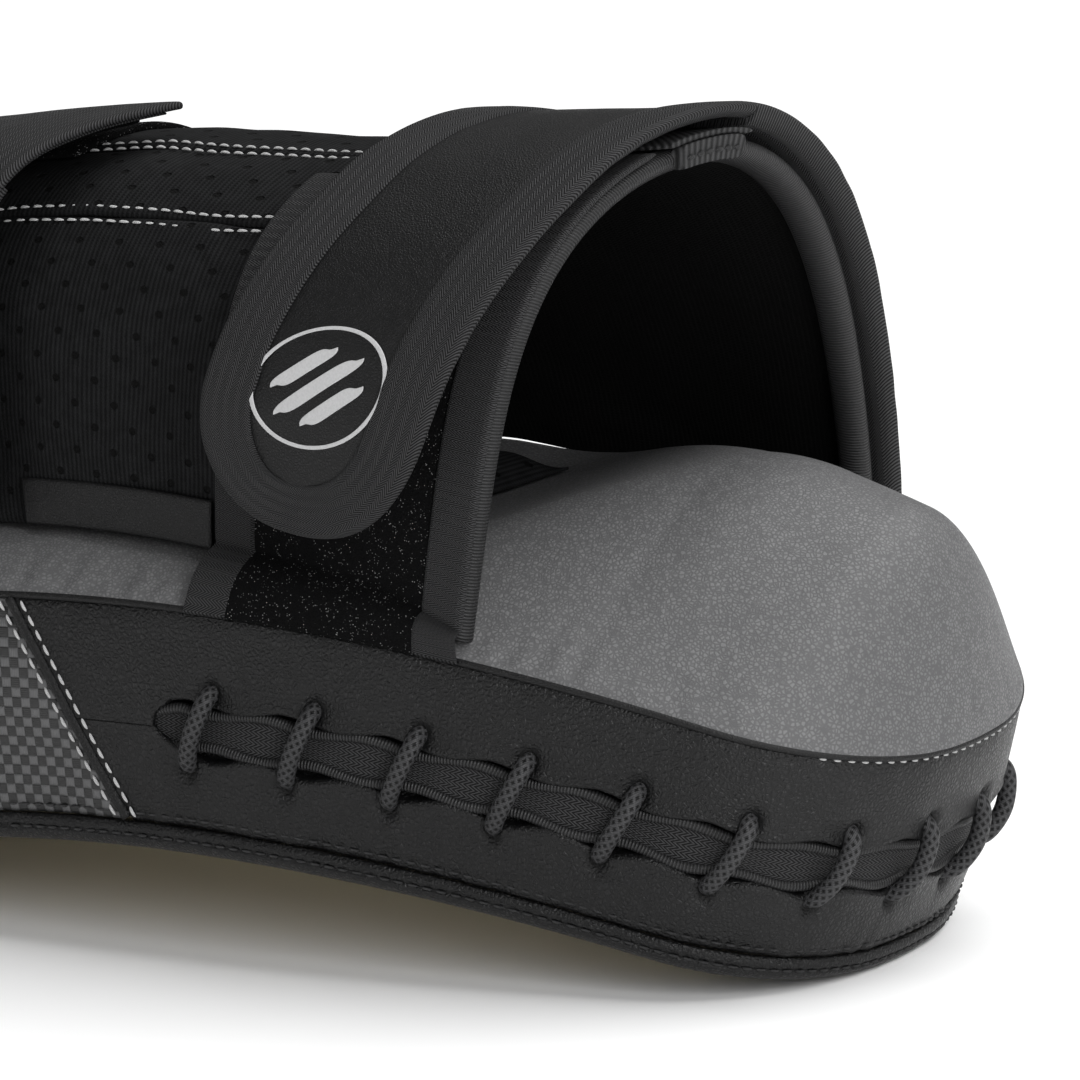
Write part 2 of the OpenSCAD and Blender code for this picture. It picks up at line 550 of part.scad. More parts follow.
module grip_rivet(side, e) color("#c9c9cc") at_grip(tab_foot_n + tab_t + 0.1) {
    t0 = side * (grip_len / 2 + 0.2 + tab_t / 2 - tab_foot / 2 - tab_t);
    translate([e * tab_w / 4, t0, 0]) {
        cylinder(d = 10, h = 1);
        translate([0, 0, 1]) cylinder(d1 = 10, d2 = 6, h = 1);
        translate([0, 0, -tab_t]) cylinder(d = rivet_d, h = tab_t + 0.5);
    }
}

core_strike();
core_middle();
core_back();
core_dome();
strike_cover();
wall_upper();
wall_lower();
wall_hand();
weave_panel(near);  // weave_panel_near
weave_panel(far);  // weave_panel_far
diag_piping(near, 1);  // diag_piping_near_elbow
diag_piping(far, 1);  // diag_piping_far_elbow
diag_piping(near, -1);  // diag_piping_near_hand
diag_piping(far, -1);  // diag_piping_far_hand
lace_tongue();
lace_webbing();
lace_rib_upper();
lace_rib_lower();
side_lace();
back_cover();
forearm_rest();
sleeve_near();
sleeve_shoulder();
sleeve_far();
sleeve_hem(0.005, 0.1);  // sleeve_hem_near
sleeve_hem(0.9, 0.995);  // sleeve_hem_far
cuff_binding();
keeper_tab();
loop_panel_a();
loop_border_a_elbow();
loop_border_a_hand();
strap_a_root();
strap_a_flap();
strap_a_tip();
strap_a_hook();
strap_a_badge();
loop_panel_b();
strap_b_root();
strap_b_flap();
strap_b_tip();
strap_b_hook();
grip_core();
grip_wrap();
grip_tab(near);  // grip_tab_near
grip_tab(far);  // grip_tab_far
grip_screw(near);  // grip_screw_near
grip_screw(far);  // grip_screw_far
grip_rivet(near, -1);  // grip_rivet_near_a
grip_rivet(near, 1);  // grip_rivet_near_b
grip_rivet(far, -1);  // grip_rivet_far_a
grip_rivet(far, 1);  // grip_rivet_far_b
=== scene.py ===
"""Looks of an arm-worn kick shield: leather, webbing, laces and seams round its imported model."""

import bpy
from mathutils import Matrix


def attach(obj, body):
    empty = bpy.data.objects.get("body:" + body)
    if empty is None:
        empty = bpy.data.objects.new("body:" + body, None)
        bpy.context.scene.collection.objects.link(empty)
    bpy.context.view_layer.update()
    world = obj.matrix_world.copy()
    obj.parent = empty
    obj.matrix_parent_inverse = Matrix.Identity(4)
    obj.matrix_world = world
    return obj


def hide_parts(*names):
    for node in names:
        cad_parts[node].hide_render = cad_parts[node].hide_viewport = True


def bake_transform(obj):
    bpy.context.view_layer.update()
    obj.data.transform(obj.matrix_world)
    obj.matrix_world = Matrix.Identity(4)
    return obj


bl_info = {
    "name": "Kick Shield Looks",
    "version": (1, 0, 0),
    "blender": (4, 5, 0),
    "location": "View3D > Sidebar > Kick Shield",
    "description": "Builds the leather, webbing, lacing and studio of an arm-worn kick shield",
    "category": "Object",
}

import bmesh
import bpy
import numpy as np
from bpy.props import FloatProperty, FloatVectorProperty, PointerProperty
from mathutils import Matrix, Vector

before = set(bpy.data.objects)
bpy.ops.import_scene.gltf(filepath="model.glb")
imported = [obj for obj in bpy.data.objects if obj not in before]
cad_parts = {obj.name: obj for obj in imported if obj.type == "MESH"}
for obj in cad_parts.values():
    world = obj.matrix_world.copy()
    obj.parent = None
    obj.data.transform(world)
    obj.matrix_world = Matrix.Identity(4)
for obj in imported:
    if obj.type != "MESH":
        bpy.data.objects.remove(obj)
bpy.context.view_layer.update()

MM = 0.001
TAU = 2 * np.pi

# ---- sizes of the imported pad, in millimetres ---------------------------------------------------

ELBOW, HAND, HALF = 179.0, 205.0, 96.0
ELBOW_TAPER, HAND_TAPER, END, POWER = 0.37, 0.12, 45.0, 2.4
BEND, WALL, ROLL, BULGE, LEATHER = 534.0, 62.0, 9.0, 2.0, 2.5
PUFF, HUMP, PUFF_RUN, HUMP_RUN, HUMP_END = 14.0, 52.0, 30.0, 90.0, 36.0
ARM_W, ARM_TOP, ARM_TAPER, ARM_DROP, ARM_LEAN, SKEW = 74.0, 203.0, 11.0, 25.0, 16.0, 0.2
FLARE = 22.0
TILT = (HAND - ELBOW) / 2 / BEND
GROUND = BEND - (BEND - 0.95 * ROLL) * np.cos(((HAND + ELBOW) / 2 - 5) / BEND)
MOUTH, MIDDLE, SLEEVE_HAND = 72.5, -50.0, -122.0
SLEEVE_T, LOOP_OUT, LOOP_T, STRAP_T, STRAP_B_T = 3.5, 0.4, 2.6, 7.0, 5.0
STRAP_IN = LOOP_OUT + LOOP_T + 0.6
A_ELBOW = MOUTH + 1
A_HAND = A_ELBOW - 62.0
A_FAR, A_NEAR, A_END, A_ROOT, A_LIFT, A_SHIFT = 0.70, 0.36, 0.05, 0.975, 9.0, 8.0
REST_HAND, REST_ELBOW = -112.0, 15.0
LOOP_HAND, BORDER = A_ELBOW - 75.0, 12.0
B_ELBOW, B_HAND, B_SKEW = -63.0, -123.0, SKEW + 0.15
B_FOOT = HALF - 5 - STRAP_B_T
B_HINGE, B_PEEL, B_END = 0.42, 0.66, 0.9
DIAG_TOP, DIAG_FOOT, HAND_SHIFT = -53.0, -20.0, 176.0
PITCH, FIRST_LACE, SLOT_H, SLOT_PINCH = 29.8, 6.5, 17.0, 12.4
SLOT_MID, SLOT_START = 0.46 * WALL, -16.0
HOLE_UP, HOLE_DOWN, LACE_SLANT = 0.63 * WALL, 0.29 * WALL, 0.22 * PITCH
GRIP_S, GRIP_N, GRIP_LEN, GRIP_D = -165.0, WALL + 64.0, 112.0, 34.0
SEAM_NEAR, SEAM_TOP, SLEEVE_END = 0.33, 0.45, MOUTH - 7
WHITE_FROM = 168.0

# ---- studio: metres for places, millimetres for the lens, degrees for the sun's width -------------

FLOOR_HALF, SUN_WIDTH = 12.0, 75.0
SENSOR, LENS, LENS_SHIFT = 36.0, 395.1463, (-0.021861, 0.01063)
CAMERA_AIM, CAMERA_DISTANCE = (0.06465, 0.0, 0.06598), 3.3099


def clamp(x):
    """x held between 0 and 1."""
    return np.clip(x, 0.0, 1.0)


def mix(a, b, f):
    """From a at f = 0 to b at f = 1."""
    return a + (b - a) * f


def smooth(x):
    """A soft step from 0 to 1."""
    c = clamp(x)
    return c * c * (3 - 2 * c)


def quarter(x):
    """A quarter of a sine: steep at 0, level at 1."""
    return np.sin(np.pi / 2 * clamp(x))


def bend(s, t, n):
    """Points at arc length s, across t and height n of the bent pad, in the row frame."""
    s, t, n = np.broadcast_arrays(*(np.asarray(v, float) for v in (s, t, n)))
    a = s / BEND + TILT
    return np.stack([(BEND + n) * np.sin(a), t, (BEND + n) * np.cos(a) - BEND + GROUND], -1) * MM


def half_at(s, inset=0.0):
    """Half width of the pad's plan at s."""
    length = np.where(s < 0, HAND, ELBOW) - inset
    r, a = END - inset, np.abs(s)
    x = clamp((a - length + r) / r)
    w = 1 - np.where(s < 0, HAND_TAPER, ELBOW_TAPER) * (a / length) ** 2
    return (HALF - inset) * w * (1 - x ** POWER) ** (1 / POWER)


def back_n(s, t):
    """Height of the back's face."""
    f = smooth((s - 20) / 100)
    half = half_at(s)
    run = np.maximum(1, np.minimum(half, mix(PUFF_RUN, HUMP_RUN, f)))
    rise = mix(PUFF, HUMP, f) * quarter((half - np.abs(t)) / run)
    ends = quarter((ELBOW - s) / mix(PUFF_RUN, HUMP_END, f)) * quarter((HAND + s) / PUFF_RUN)
    return WALL + 0.8 + rise * ends


def reach(s):
    """Share of the way from the tunnel's middle to its mouth."""
    return (s - MIDDLE) / (MOUTH - MIDDLE)


def arm_high(s):
    """Height of the tunnel's top: level along the sleeve, climbing towards its mouth."""
    f = reach(s)
    return ARM_TOP - ARM_DROP + ARM_DROP * (np.maximum(f, 0) ** 2.4 + 0.4 * np.minimum(f, 0))


def arch(s, a):
    """Across and height of the sleeve's outside; a runs from 0 at the near foot to 180."""
    f = reach(s)
    c, w = -mix(ARM_LEAN - 4, ARM_LEAN, f), mix(ARM_W - ARM_TAPER, ARM_W, f)
    high = arm_high(s)
    k = clamp(np.sin(np.radians(a)))
    foot_t = np.where(a < 90, c - w + 5, c + w + FLARE - 5)
    foot = back_n(s + SKEW * (foot_t + HALF), foot_t) + 0.8
    t = c - w * np.cos(np.radians(a)) + np.where(a < 90, 0, FLARE * (1 - k) ** 2.5)
    return t, mix(foot, high, k ** np.where(a < 90, 0.5, 0.85))


def arch_b(s, a):
    """The same for the wrist strap's inside; a runs from 0 at the near foot to 90 at the top."""
    high = arm_high(s) + LOOP_OUT + LOOP_T + 2.6
    foot = back_n(s + SKEW * (HALF - B_FOOT + 4), 4 - B_FOOT) + 0.6
    c, k = clamp(np.cos(np.radians(a))), clamp(np.sin(np.radians(a)))
    return 8 - (B_FOOT + 8) * c ** 0.42, mix(foot, high, k ** 0.42)


def lifted(curve, s, f, top, d, skew=SKEW):
    """Points of such a curve at share f, moved out by d along its normal and laid on the pad."""
    s, f, d = np.broadcast_arrays(*(np.asarray(v, float) for v in (s, f, d)))
    a = top * f * f * (3 - 2 * f)
    (t0, n0), (t1, n1) = curve(s, np.maximum(a - 1, 0)), curve(s, np.minimum(a + 1, top))
    t, n = curve(s, a)
    size = np.hypot(t1 - t0, n1 - n0) + 1e-9
    t, n = t - d * (n1 - n0) / size, n + d * (t1 - t0) / size
    return bend(s + skew * (t + HALF), t, n)


def over(s, f, d):
    """Points d outside the sleeve at share f of its arch."""
    return lifted(arch, s, f, 180, d)


def over_b(s, f, d):
    """Points d outside the wrist strap's inside at share f of its arch."""
    return lifted(arch_b, s, f, 90, d, B_SKEW)


def noise(x, y, seed):
    """Smooth value noise from -1 to 1 with cells of size 1."""
    table = np.random.default_rng(seed).uniform(-1, 1, (64, 64))
    xi, yi = np.floor(x).astype(int), np.floor(y).astype(int)
    fx, fy = smooth(x - xi), smooth(y - yi)
    at = lambda i, j: table[i % 64, j % 64]
    low = mix(at(xi, yi), at(xi + 1, yi), fx)
    return mix(low, mix(at(xi, yi + 1), at(xi + 1, yi + 1), fx), fy)


# ---- meshes ------------------------------------------------------------------------------------


def make_object(name, verts, faces, material, uv=None, extra=None):
    """A smooth mesh object with outward normals, its flow uv and any number attributes."""
    mesh = bpy.data.meshes.new(name)
    mesh.from_pydata(np.asarray(verts).reshape(-1, 3).tolist(), [], faces)
    index = np.empty(len(mesh.loops), int)
    mesh.loops.foreach_get("vertex_index", index)
    if uv is not None:
        layer = mesh.uv_layers.new(name="flow")
        layer.data.foreach_set("uv", np.asarray(uv, float).reshape(-1, 2)[index].ravel())
    for key, values in (extra or {}).items():
        attribute = mesh.attributes.new(key, "FLOAT", "POINT")
        attribute.data.foreach_set("value", np.asarray(values, float).ravel())
    work = bmesh.new()
    work.from_mesh(mesh)
    bmesh.ops.recalc_face_normals(work, faces=work.faces)
    work.to_mesh(mesh)
    work.free()
    mesh.shade_smooth()
    mesh.materials.append(material)
    obj = bpy.data.objects.new(name, mesh)
    bpy.context.scene.collection.objects.link(obj)
    return obj


def loft(name, points, material, uv=None, ring=False, extra=None):
    """A skin over rows of equal length. Each row is a closed loop, paired first to last at its ends."""
    rows, size = points.shape[:2]
    i = np.arange(rows if ring else rows - 1)[:, None]
    j = np.arange(size)[None, :]
    k, m = (i + 1) % rows, (j + 1) % size
    faces = np.stack([i * size + j, k * size + j, k * size + m, i * size + m], -1).reshape(-1, 4).tolist()
    if not ring:
        for start in (0, (rows - 1) * size):
            last = start + size - 1
            faces += [[start + v, start + v + 1, last - v - 1, last - v] for v in range(size // 2 - 1)]
    return make_object(name, points, faces, material, uv, extra)


def section(low, high, floor, top, count, edge):
    """A rounded bar's outline as across and height arrays: over the top from low to high, then back."""
    arc = np.linspace(0, np.pi / 2, 5)
    r = min(edge, (top - floor) / 2)
    flat = np.linspace(low + r, high - r, count)
    v = np.concatenate([low + r - r * np.cos(arc[:-1]), flat, high - r + r * np.sin(arc[1:])])
    d = np.concatenate([top - r + r * np.sin(arc[:-1]), np.full(count, top), top - r + r * np.cos(arc[1:])])
    return np.concatenate([v, v[::-1]]), np.concatenate([d, floor + top - d[::-1]])


def along(line):
    """Millimetres along a line of points in metres."""
    return np.concatenate([[0], np.cumsum(np.linalg.norm(np.diff(line, axis=0), axis=1))]) / MM


def frames(line, hint):
    """Unit side and up directions along a line of points, up being nearest to the hint."""
    ahead = np.gradient(line, axis=0)
    ahead /= np.linalg.norm(ahead, axis=1, keepdims=True)
    side = np.cross(ahead, hint)
    side /= np.linalg.norm(side, axis=1, keepdims=True)
    return side, np.cross(side, ahead)


def tube(name, line, radius, hint, material, sides=16):
    """A round cord along a line; its uv is millimetres along and turns round it."""
    side, up = frames(line, hint)
    q = np.linspace(0, TAU, sides, endpoint=False)
    ring = np.cos(q)[None, :, None] * side[:, None] + np.sin(q)[None, :, None] * up[:, None]
    run = along(line)
    uv = np.stack(np.broadcast_arrays(run[:, None], q[None, :] / TAU), -1)
    return loft(name, line[:, None] + radius * MM * ring, material, uv)


def stitches(name, line, up, material, pitch=5.0, share=0.72, radius=0.5, dip=0.25):
    """Thread along a line, one rounded stitch per pitch, its ends dipping into the surface."""
    run = along(line)
    count = max(1, int(run[-1] / pitch))
    start = (np.arange(count) + 0.5 * (1 - share)) * run[-1] / count
    rings, sides = 7, 6
    shares, q = np.linspace(0, 1, rings), np.linspace(0, TAU, sides, endpoint=False)
    at = start[:, None] + shares * share * run[-1] / count
    centre = np.stack([np.interp(at, run, line[:, k]) for k in range(3)], -1)
    lift = np.stack([np.interp(at, run, up[:, k]) for k in range(3)], -1)
    ahead = centre[:, -1:] - centre[:, :1]
    ahead /= np.linalg.norm(ahead, axis=-1, keepdims=True)
    side = np.cross(ahead, lift)
    bow = np.sin(np.pi * shares)
    centre = centre + lift * ((bow - 0.6) * dip * MM)[None, :, None]
    size = radius * MM * (0.35 + 0.65 * bow ** 0.4)
    ring = np.cos(q)[:, None] * side[:, :, None] + np.sin(q)[:, None] * lift[:, :, None]
    points = centre[:, :, None] + size[None, :, None, None] * ring
    faces, size = [], rings * sides
    row, column = sides * np.arange(rings - 1)[:, None], np.arange(sides)[None, :]
    base, beside = row + column, row + (column + 1) % sides
    quads = np.stack([base, base + sides, beside + sides, beside], -1).reshape(-1, 4)
    for o in range(0, count * size, size):
        faces += (quads + o).tolist()
        faces += [list(range(o, o + sides)), list(range(o + size - 1, o + size - sides - 1, -1))]
    share_at, turn_at = 4 * shares[None, :, None], q[None, None, :] / TAU
    uv = np.stack(np.broadcast_arrays(share_at, turn_at, points[..., 0])[:2], -1)
    return make_object(name, points, faces, material, uv)


# ---- shader nodes ------------------------------------------------------------------------------


class Value:
    """A number socket of a node tree, with the usual arithmetic."""

    def __init__(self, tree, socket):
        self.tree, self.socket = tree, socket

    def math(self, operation, *others, swap=False, clamp_it=False):
        """This value and the others through one Math node."""
        node = self.tree.nodes.new("ShaderNodeMath")
        node.operation, node.use_clamp = operation, clamp_it
        terms = [self, *others]
        if swap:
            terms.reverse()
        for socket, term in zip(node.inputs, terms):
            if isinstance(term, Value):
                self.tree.links.new(term.socket, socket)
            else:
                socket.default_value = term
        return Value(self.tree, node.outputs[0])

    def __add__(self, o):
        return self.math("ADD", o)

    __radd__ = __add__

    def __sub__(self, o):
        return self.math("SUBTRACT", o)

    def __rsub__(self, o):
        return self.math("SUBTRACT", o, swap=True)

    def __mul__(self, o):
        return self.math("MULTIPLY", o)

    __rmul__ = __mul__

    def __truediv__(self, o):
        return self.math("DIVIDE", o)

    def __pow__(self, o):
        return self.math("POWER", o)

    def sine(self):
        return self.math("SINE")

    def fold(self):
        return self.math("ABSOLUTE")

    def fraction(self):
        return self.math("FRACT")

    def whole(self):
        return self.math("FLOOR")

    def above(self, o):
        return self.math("GREATER_THAN", o)

    def top(self, o):
        return self.math("MAXIMUM", o)

    def ramp(self, a, b):
        """0 below a, 1 above b, smooth between."""
        x = ((self - a) / (b - a)).math("ADD", 0.0, clamp_it=True)
        return x * x * (3 - 2 * x)


class Finish:
    """One material: a Principled shader with procedural colour, roughness and bump."""

    def __init__(self, name, **sockets):
        self.material = bpy.data.materials.new(name)
        self.material.use_nodes = True
        self.tree = self.material.node_tree
        self.shader = self.tree.nodes["Principled BSDF"]
        for key, value in sockets.items():
            self.shader.inputs[key.replace("_", " ")].default_value = value

    def node(self, kind, settings=None, **sockets):
        """One node of a kind: its settings first, then what its sockets take."""
        node = self.tree.nodes.new(kind)
        for key, value in (settings or {}).items():
            setattr(node, key, value)
        for key, value in sockets.items():
            self.feed(node.inputs[key.replace("_", " ")], value)
        return node

    def feed(self, socket, value):
        """Links or sets a socket."""
        if isinstance(value, Value):
            self.tree.links.new(value.socket, socket)
        elif isinstance(value, bpy.types.NodeSocket):
            self.tree.links.new(value, socket)
        else:
            socket.default_value = value

    def value(self, socket):
        return Value(self.tree, socket)

    def flow(self):
        """The mesh's own millimetres: along and across."""
        source = self.node("ShaderNodeUVMap", {"uv_map": "flow"}).outputs[0]
        parts = self.node("ShaderNodeSeparateXYZ", Vector=source)
        return self.value(parts.outputs[0]), self.value(parts.outputs[1])

    def millimetres(self, stretch=(1, 1, 1)):
        """Object coordinates in millimetres, stretched along each axis."""
        node = self.node("ShaderNodeVectorMath", {"operation": "MULTIPLY"})
        self.feed(node.inputs[0], self.node("ShaderNodeTexCoord").outputs["Object"])
        node.inputs[1].default_value = tuple(v / MM for v in stretch)
        return node.outputs[0]

    def joined(self, x, y):
        return self.node("ShaderNodeCombineXYZ", X=x, Y=y).outputs[0]

    def noise(self, vector, scale, detail=2.0, rough=0.5):
        node = self.node("ShaderNodeTexNoise", Vector=vector, Scale=scale, Detail=detail, Roughness=rough)
        return self.value(node.outputs[0])

    def cells(self, vector, scale, feature="DISTANCE_TO_EDGE"):
        node = self.node("ShaderNodeTexVoronoi", {"feature": feature}, Vector=vector, Scale=scale)
        return self.value(node.outputs["Distance"])

    def blend(self, factor, a, b):
        """Colour a where the factor is 0 and b where it is 1."""
        node = self.node("ShaderNodeMix", {"data_type": "RGBA"})
        self.feed(node.inputs[0], factor)
        self.feed(node.inputs[6], a)
        self.feed(node.inputs[7], b)
        return node.outputs[2]

    def attribute(self, name):
        return self.value(self.node("ShaderNodeAttribute", {"attribute_name": name}).outputs["Fac"])

    def colour(self, value):
        self.feed(self.shader.inputs["Base Color"], value)

    def rough(self, value):
        self.feed(self.shader.inputs["Roughness"], value)

    def bump(self, height, distance):
        node = self.node("ShaderNodeBump", Height=height, Distance=distance * MM, Strength=1.0)
        self.feed(self.shader.inputs["Normal"], node.outputs[0])


def rgba(colour, gain=1.0):
    """A colour socket's value, brightened or darkened by gain."""
    return tuple(min(1.0, c * gain) for c in colour[:3]) + (1.0,)


# ---- finishes ----------------------------------------------------------------------------------


def leather(name, colour, light, grain, sheen_rough, depth=0.09):
    """Pebbled leather: rounded grain between fine creases and soft folds. Creases are painted darker and
    pebble tops lighter as painted shade and highlight, mixed with a tone that varies at random.
    """
    f = Finish(name, Specular_IOR_Level=0.3)
    at = f.millimetres()
    warp = f.noise(at, 0.35, 2.0)
    pebble = f.cells(at, 1 / grain).ramp(0.02, 0.34)
    small = f.cells(at, 2.3 / grain).ramp(0.0, 0.3)
    folds = f.noise(f.millimetres((0.5, 1, 1)), 0.16, 3.0)
    height = pebble * (0.6 + 0.5 * warp) + small * 0.3 + folds * 0.5
    # painted shade and highlight: the tone darkens the creases between pebbles and lightens their raised
    # tops, mixed with random warp
    tone = (pebble * 0.45 + warp * 0.55).ramp(0.2, 0.9)
    base = f.blend(tone, rgba(colour), rgba(light))
    # painted shade: where this mask is high, in lace holes and the slot's recess, the colour is blackened and
    # the leather made rougher
    hole = f.attribute("hole")
    f.colour(f.blend(hole.ramp(0.2, 0.75), base, (0.001, 0.001, 0.001, 1)))
    f.rough(sheen_rough + 0.16 * (1 - pebble) + 0.1 * warp + 0.3 * hole)
    f.bump(height, depth * 2.2)
    return f


def plain_thread(name, colour):
    """Twisted sewing thread, its twist grooves painted darker as painted shade."""
    f = Finish(name, Roughness=0.6)
    u, v = f.flow()
    twist = ((u * 2 + v * 2) * TAU).sine()
    # painted shade: the twist's grooves darker than its crowns
    f.colour(f.blend(twist * 0.5 + 0.5, rgba(colour, 0.7), rgba(colour)))
    f.bump(twist, 0.08)
    return f


def twill(name, colour, light, column=3.0, thread=1.05, depth=0.22):
    """Herringbone webbing: slanted ribs that turn back at each column, their crowns painted lighter as
    painted highlight over random fuzz.
    """
    f = Finish(name, Specular_IOR_Level=0.22)
    u, v = f.flow()
    zig = ((v / column).fraction() - 0.5).fold() * 2
    rib = ((u / thread + zig * (column / thread) * 0.9) * TAU).sine() * 0.5 + 0.5
    fuzz = f.noise(f.joined(u, v), 3.0, 3.0)
    # painted highlight: rib crowns lighter than the valleys, mixed with random fuzz
    shade = (rib * 0.75 + fuzz * 0.45).ramp(0.25, 1.0)
    f.colour(f.blend(shade, rgba(colour), rgba(light)))
    f.rough(0.78 - 0.22 * shade)
    f.bump(rib + fuzz * 0.4, depth)
    return f


def ribbed(name, colour, light, pitch, rough, slant=0.0, depth=0.2):
    """Grosgrain: close ribs across the tape, their crowns painted lighter as painted highlight."""
    f = Finish(name, Specular_IOR_Level=0.3)
    u, v = f.flow()
    rib = ((u / pitch + v * slant) * TAU).sine() * 0.5 + 0.5
    fuzz = f.noise(f.joined(u, v * 8), 2.0, 2.0)
    # painted highlight: rib crowns lighter than the valleys between them
    f.colour(f.blend(rib * 0.8 + fuzz * 0.2, rgba(colour), rgba(light)))
    f.rough(rough + 0.2 * (1 - rib))
    f.bump(rib + fuzz * 0.3, depth)
    return f


def braid(name, colour, light):
    """Round braided cord: strands crossing both ways, their crowns painted lighter as painted highlight."""
    f = Finish(name, Specular_IOR_Level=0.25)
    u, v = f.flow()
    turn, strands = 5.2, 3
    one = ((u / turn + v * strands) * TAU).sine()
    two = ((u / turn - v * strands) * TAU).sine()
    fine = ((u * 1.7 + v * 22) * TAU).sine() * 0.5 + 0.5
    weave = one.fold().top(two.fold())
    # painted highlight: strand crowns lighter than the crossings between them
    shade = (weave * 0.8 + fine * 0.25).ramp(0.45, 1.0)
    f.colour(f.blend(shade, rgba(colour), rgba(light)))
    f.rough(0.62 - 0.2 * shade)
    f.bump(weave * 1.2 + fine * 0.25, 0.35)
    return f


def woven_panel(name, colour, light, square):
    """Wide flat checks, each with its own thread direction, under a clear satin skin. Alternate checks are
    painted lighter as painted sheen and the gaps between checks darker as painted shade, with a random speck.
    """
    f = Finish(name, Coat_Weight=0.25, Coat_Roughness=0.3)
    u, v = f.flow()
    x, y = u / square, v / square
    even = (((x.whole() + y.whole()) / 2).fraction() * 2).above(0.5)
    across = ((x.fraction() - 0.5).fold() * 2) ** 4
    along = ((y.fraction() - 0.5).fold() * 2) ** 4
    edge = across.top(along)
    thread_x, thread_y = ((x * 5) * TAU).sine(), ((y * 5) * TAU).sine()
    lines = even * thread_x + (1 - even) * thread_y
    speck = f.noise(f.joined(x * 1.7, y * 1.7), 1.0, 1.0)
    # painted sheen and shade: lighter alternate checks, darker gaps between checks, random speck
    tone = (even * 0.75 + speck * 0.3 - edge * 0.35).ramp(0.1, 0.95)
    f.colour(f.blend(tone, rgba(colour), rgba(light)))
    f.rough(0.34 + 0.2 * (1 - even) + 0.05 * lines)
    f.bump(even * 0.5 - edge * 0.9 + lines * 0.12, 0.3)
    return f


def neoprene(name, colour, light):
    """Fine ribbed knit over foam, with staggered rows of punched holes painted near-black as painted shade,
    and ribs painted lighter than their valleys as painted highlight, mixed with random fuzz.
    """
    f = Finish(name, Specular_IOR_Level=0.12)
    u, v = f.flow()
    apart, row_apart = 11.0, 6.6
    shift = ((v / row_apart).whole() / 2).fraction()
    x = ((u / apart + shift).fraction() - 0.5) * apart
    y = ((v / row_apart).fraction() - 0.5) * row_apart
    # painted shade: each punched hole is painted near-black and dented, in place of a real opening
    hole = 1 - ((x * x + y * y) ** 0.5).ramp(0.75, 1.25)
    ribs = ((u / 1.3) * TAU).sine() * 0.5 + 0.5
    knit = ((v / 0.9 + ribs * 0.5) * TAU).sine() * 0.5 + 0.5
    fuzz = f.noise(f.millimetres(), 0.25, 4.0)
    # painted highlight: ribs painted lighter than the valleys between them, mixed with random fuzz
    base = f.blend((ribs * 0.4 + fuzz * 0.6).ramp(0.2, 0.9), rgba(colour), rgba(light))
    # painted shade: a shell's inner half, inside the tunnel, is painted near-black with no hole dents
    inside = f.attribute("inner_shade")
    f.colour(f.blend(hole.top(inside), base, (0.0008, 0.0008, 0.0008, 1)))
    f.rough(0.85 - 0.08 * ribs)
    f.bump(ribs * 0.35 + knit * 0.25 + fuzz * 0.5 - hole * 3 * (1 - inside), 0.3)
    return f


def pile(name, colour, light):
    """Fuzzy loop pile with sparse painted glints on the tops of its loops."""
    f = Finish(name, Specular_IOR_Level=0.1)
    at = f.millimetres()
    loops = f.cells(at, 1.4, "F1")
    tuft = f.noise(at, 1.1, 5.0, 0.8)
    # painted highlight: sparse loop tops take the light colour and a lower roughness as painted glints
    bright = (1 - loops).ramp(0.72, 0.98) * f.noise(at, 0.5, 1.0).ramp(0.46, 0.62)
    f.colour(f.blend(bright, rgba(colour), rgba(light)))
    f.rough(0.9 - 0.3 * bright)
    f.bump(loops * -0.8 + tuft * 1.6, 0.9)
    return f


def foam(name, colour):
    """Cut foam with open cells, their pits painted darker as painted shade."""
    f = Finish(name, Roughness=0.95)
    at = f.millimetres()
    cell = f.cells(at, 0.9, "F1")
    # painted shade: the open cells' pits darker than the foam around them
    f.colour(f.blend(cell, rgba(colour, 0.6), rgba(colour)))
    f.bump(cell, 0.4)
    return f


def metal(name, colour):
    """Turned metal with fine rings of wear."""
    f = Finish(name, Metallic=1.0)
    scratch = f.noise(f.millimetres((1, 6, 6)), 0.6, 4.0)
    f.colour(f.blend(scratch, rgba(colour, 0.75), rgba(colour)))
    f.rough(0.2 + 0.2 * scratch)
    f.bump(scratch, 0.02)
    return f


def wood(name, colour, light):
    """Turned wood with long grain."""
    f = Finish(name)
    grain = f.noise(f.millimetres((1, 0.06, 1)), 0.7, 5.0)
    f.colour(f.blend(grain.ramp(0.3, 0.7), rgba(colour), rgba(light)))
    f.rough(0.45 + 0.2 * grain)
    f.bump(grain, 0.06)
    return f


def rubber(name, colour, light):
    """Moulded rubber with a fine matt grain."""
    f = Finish(name)
    at = f.millimetres()
    speck = f.noise(at, 1.6, 4.0)
    f.colour(f.blend(speck, rgba(colour), rgba(light)))
    f.rough(0.45 + 0.15 * speck)
    f.bump(speck, 0.06)
    return f


FINISHES = {}


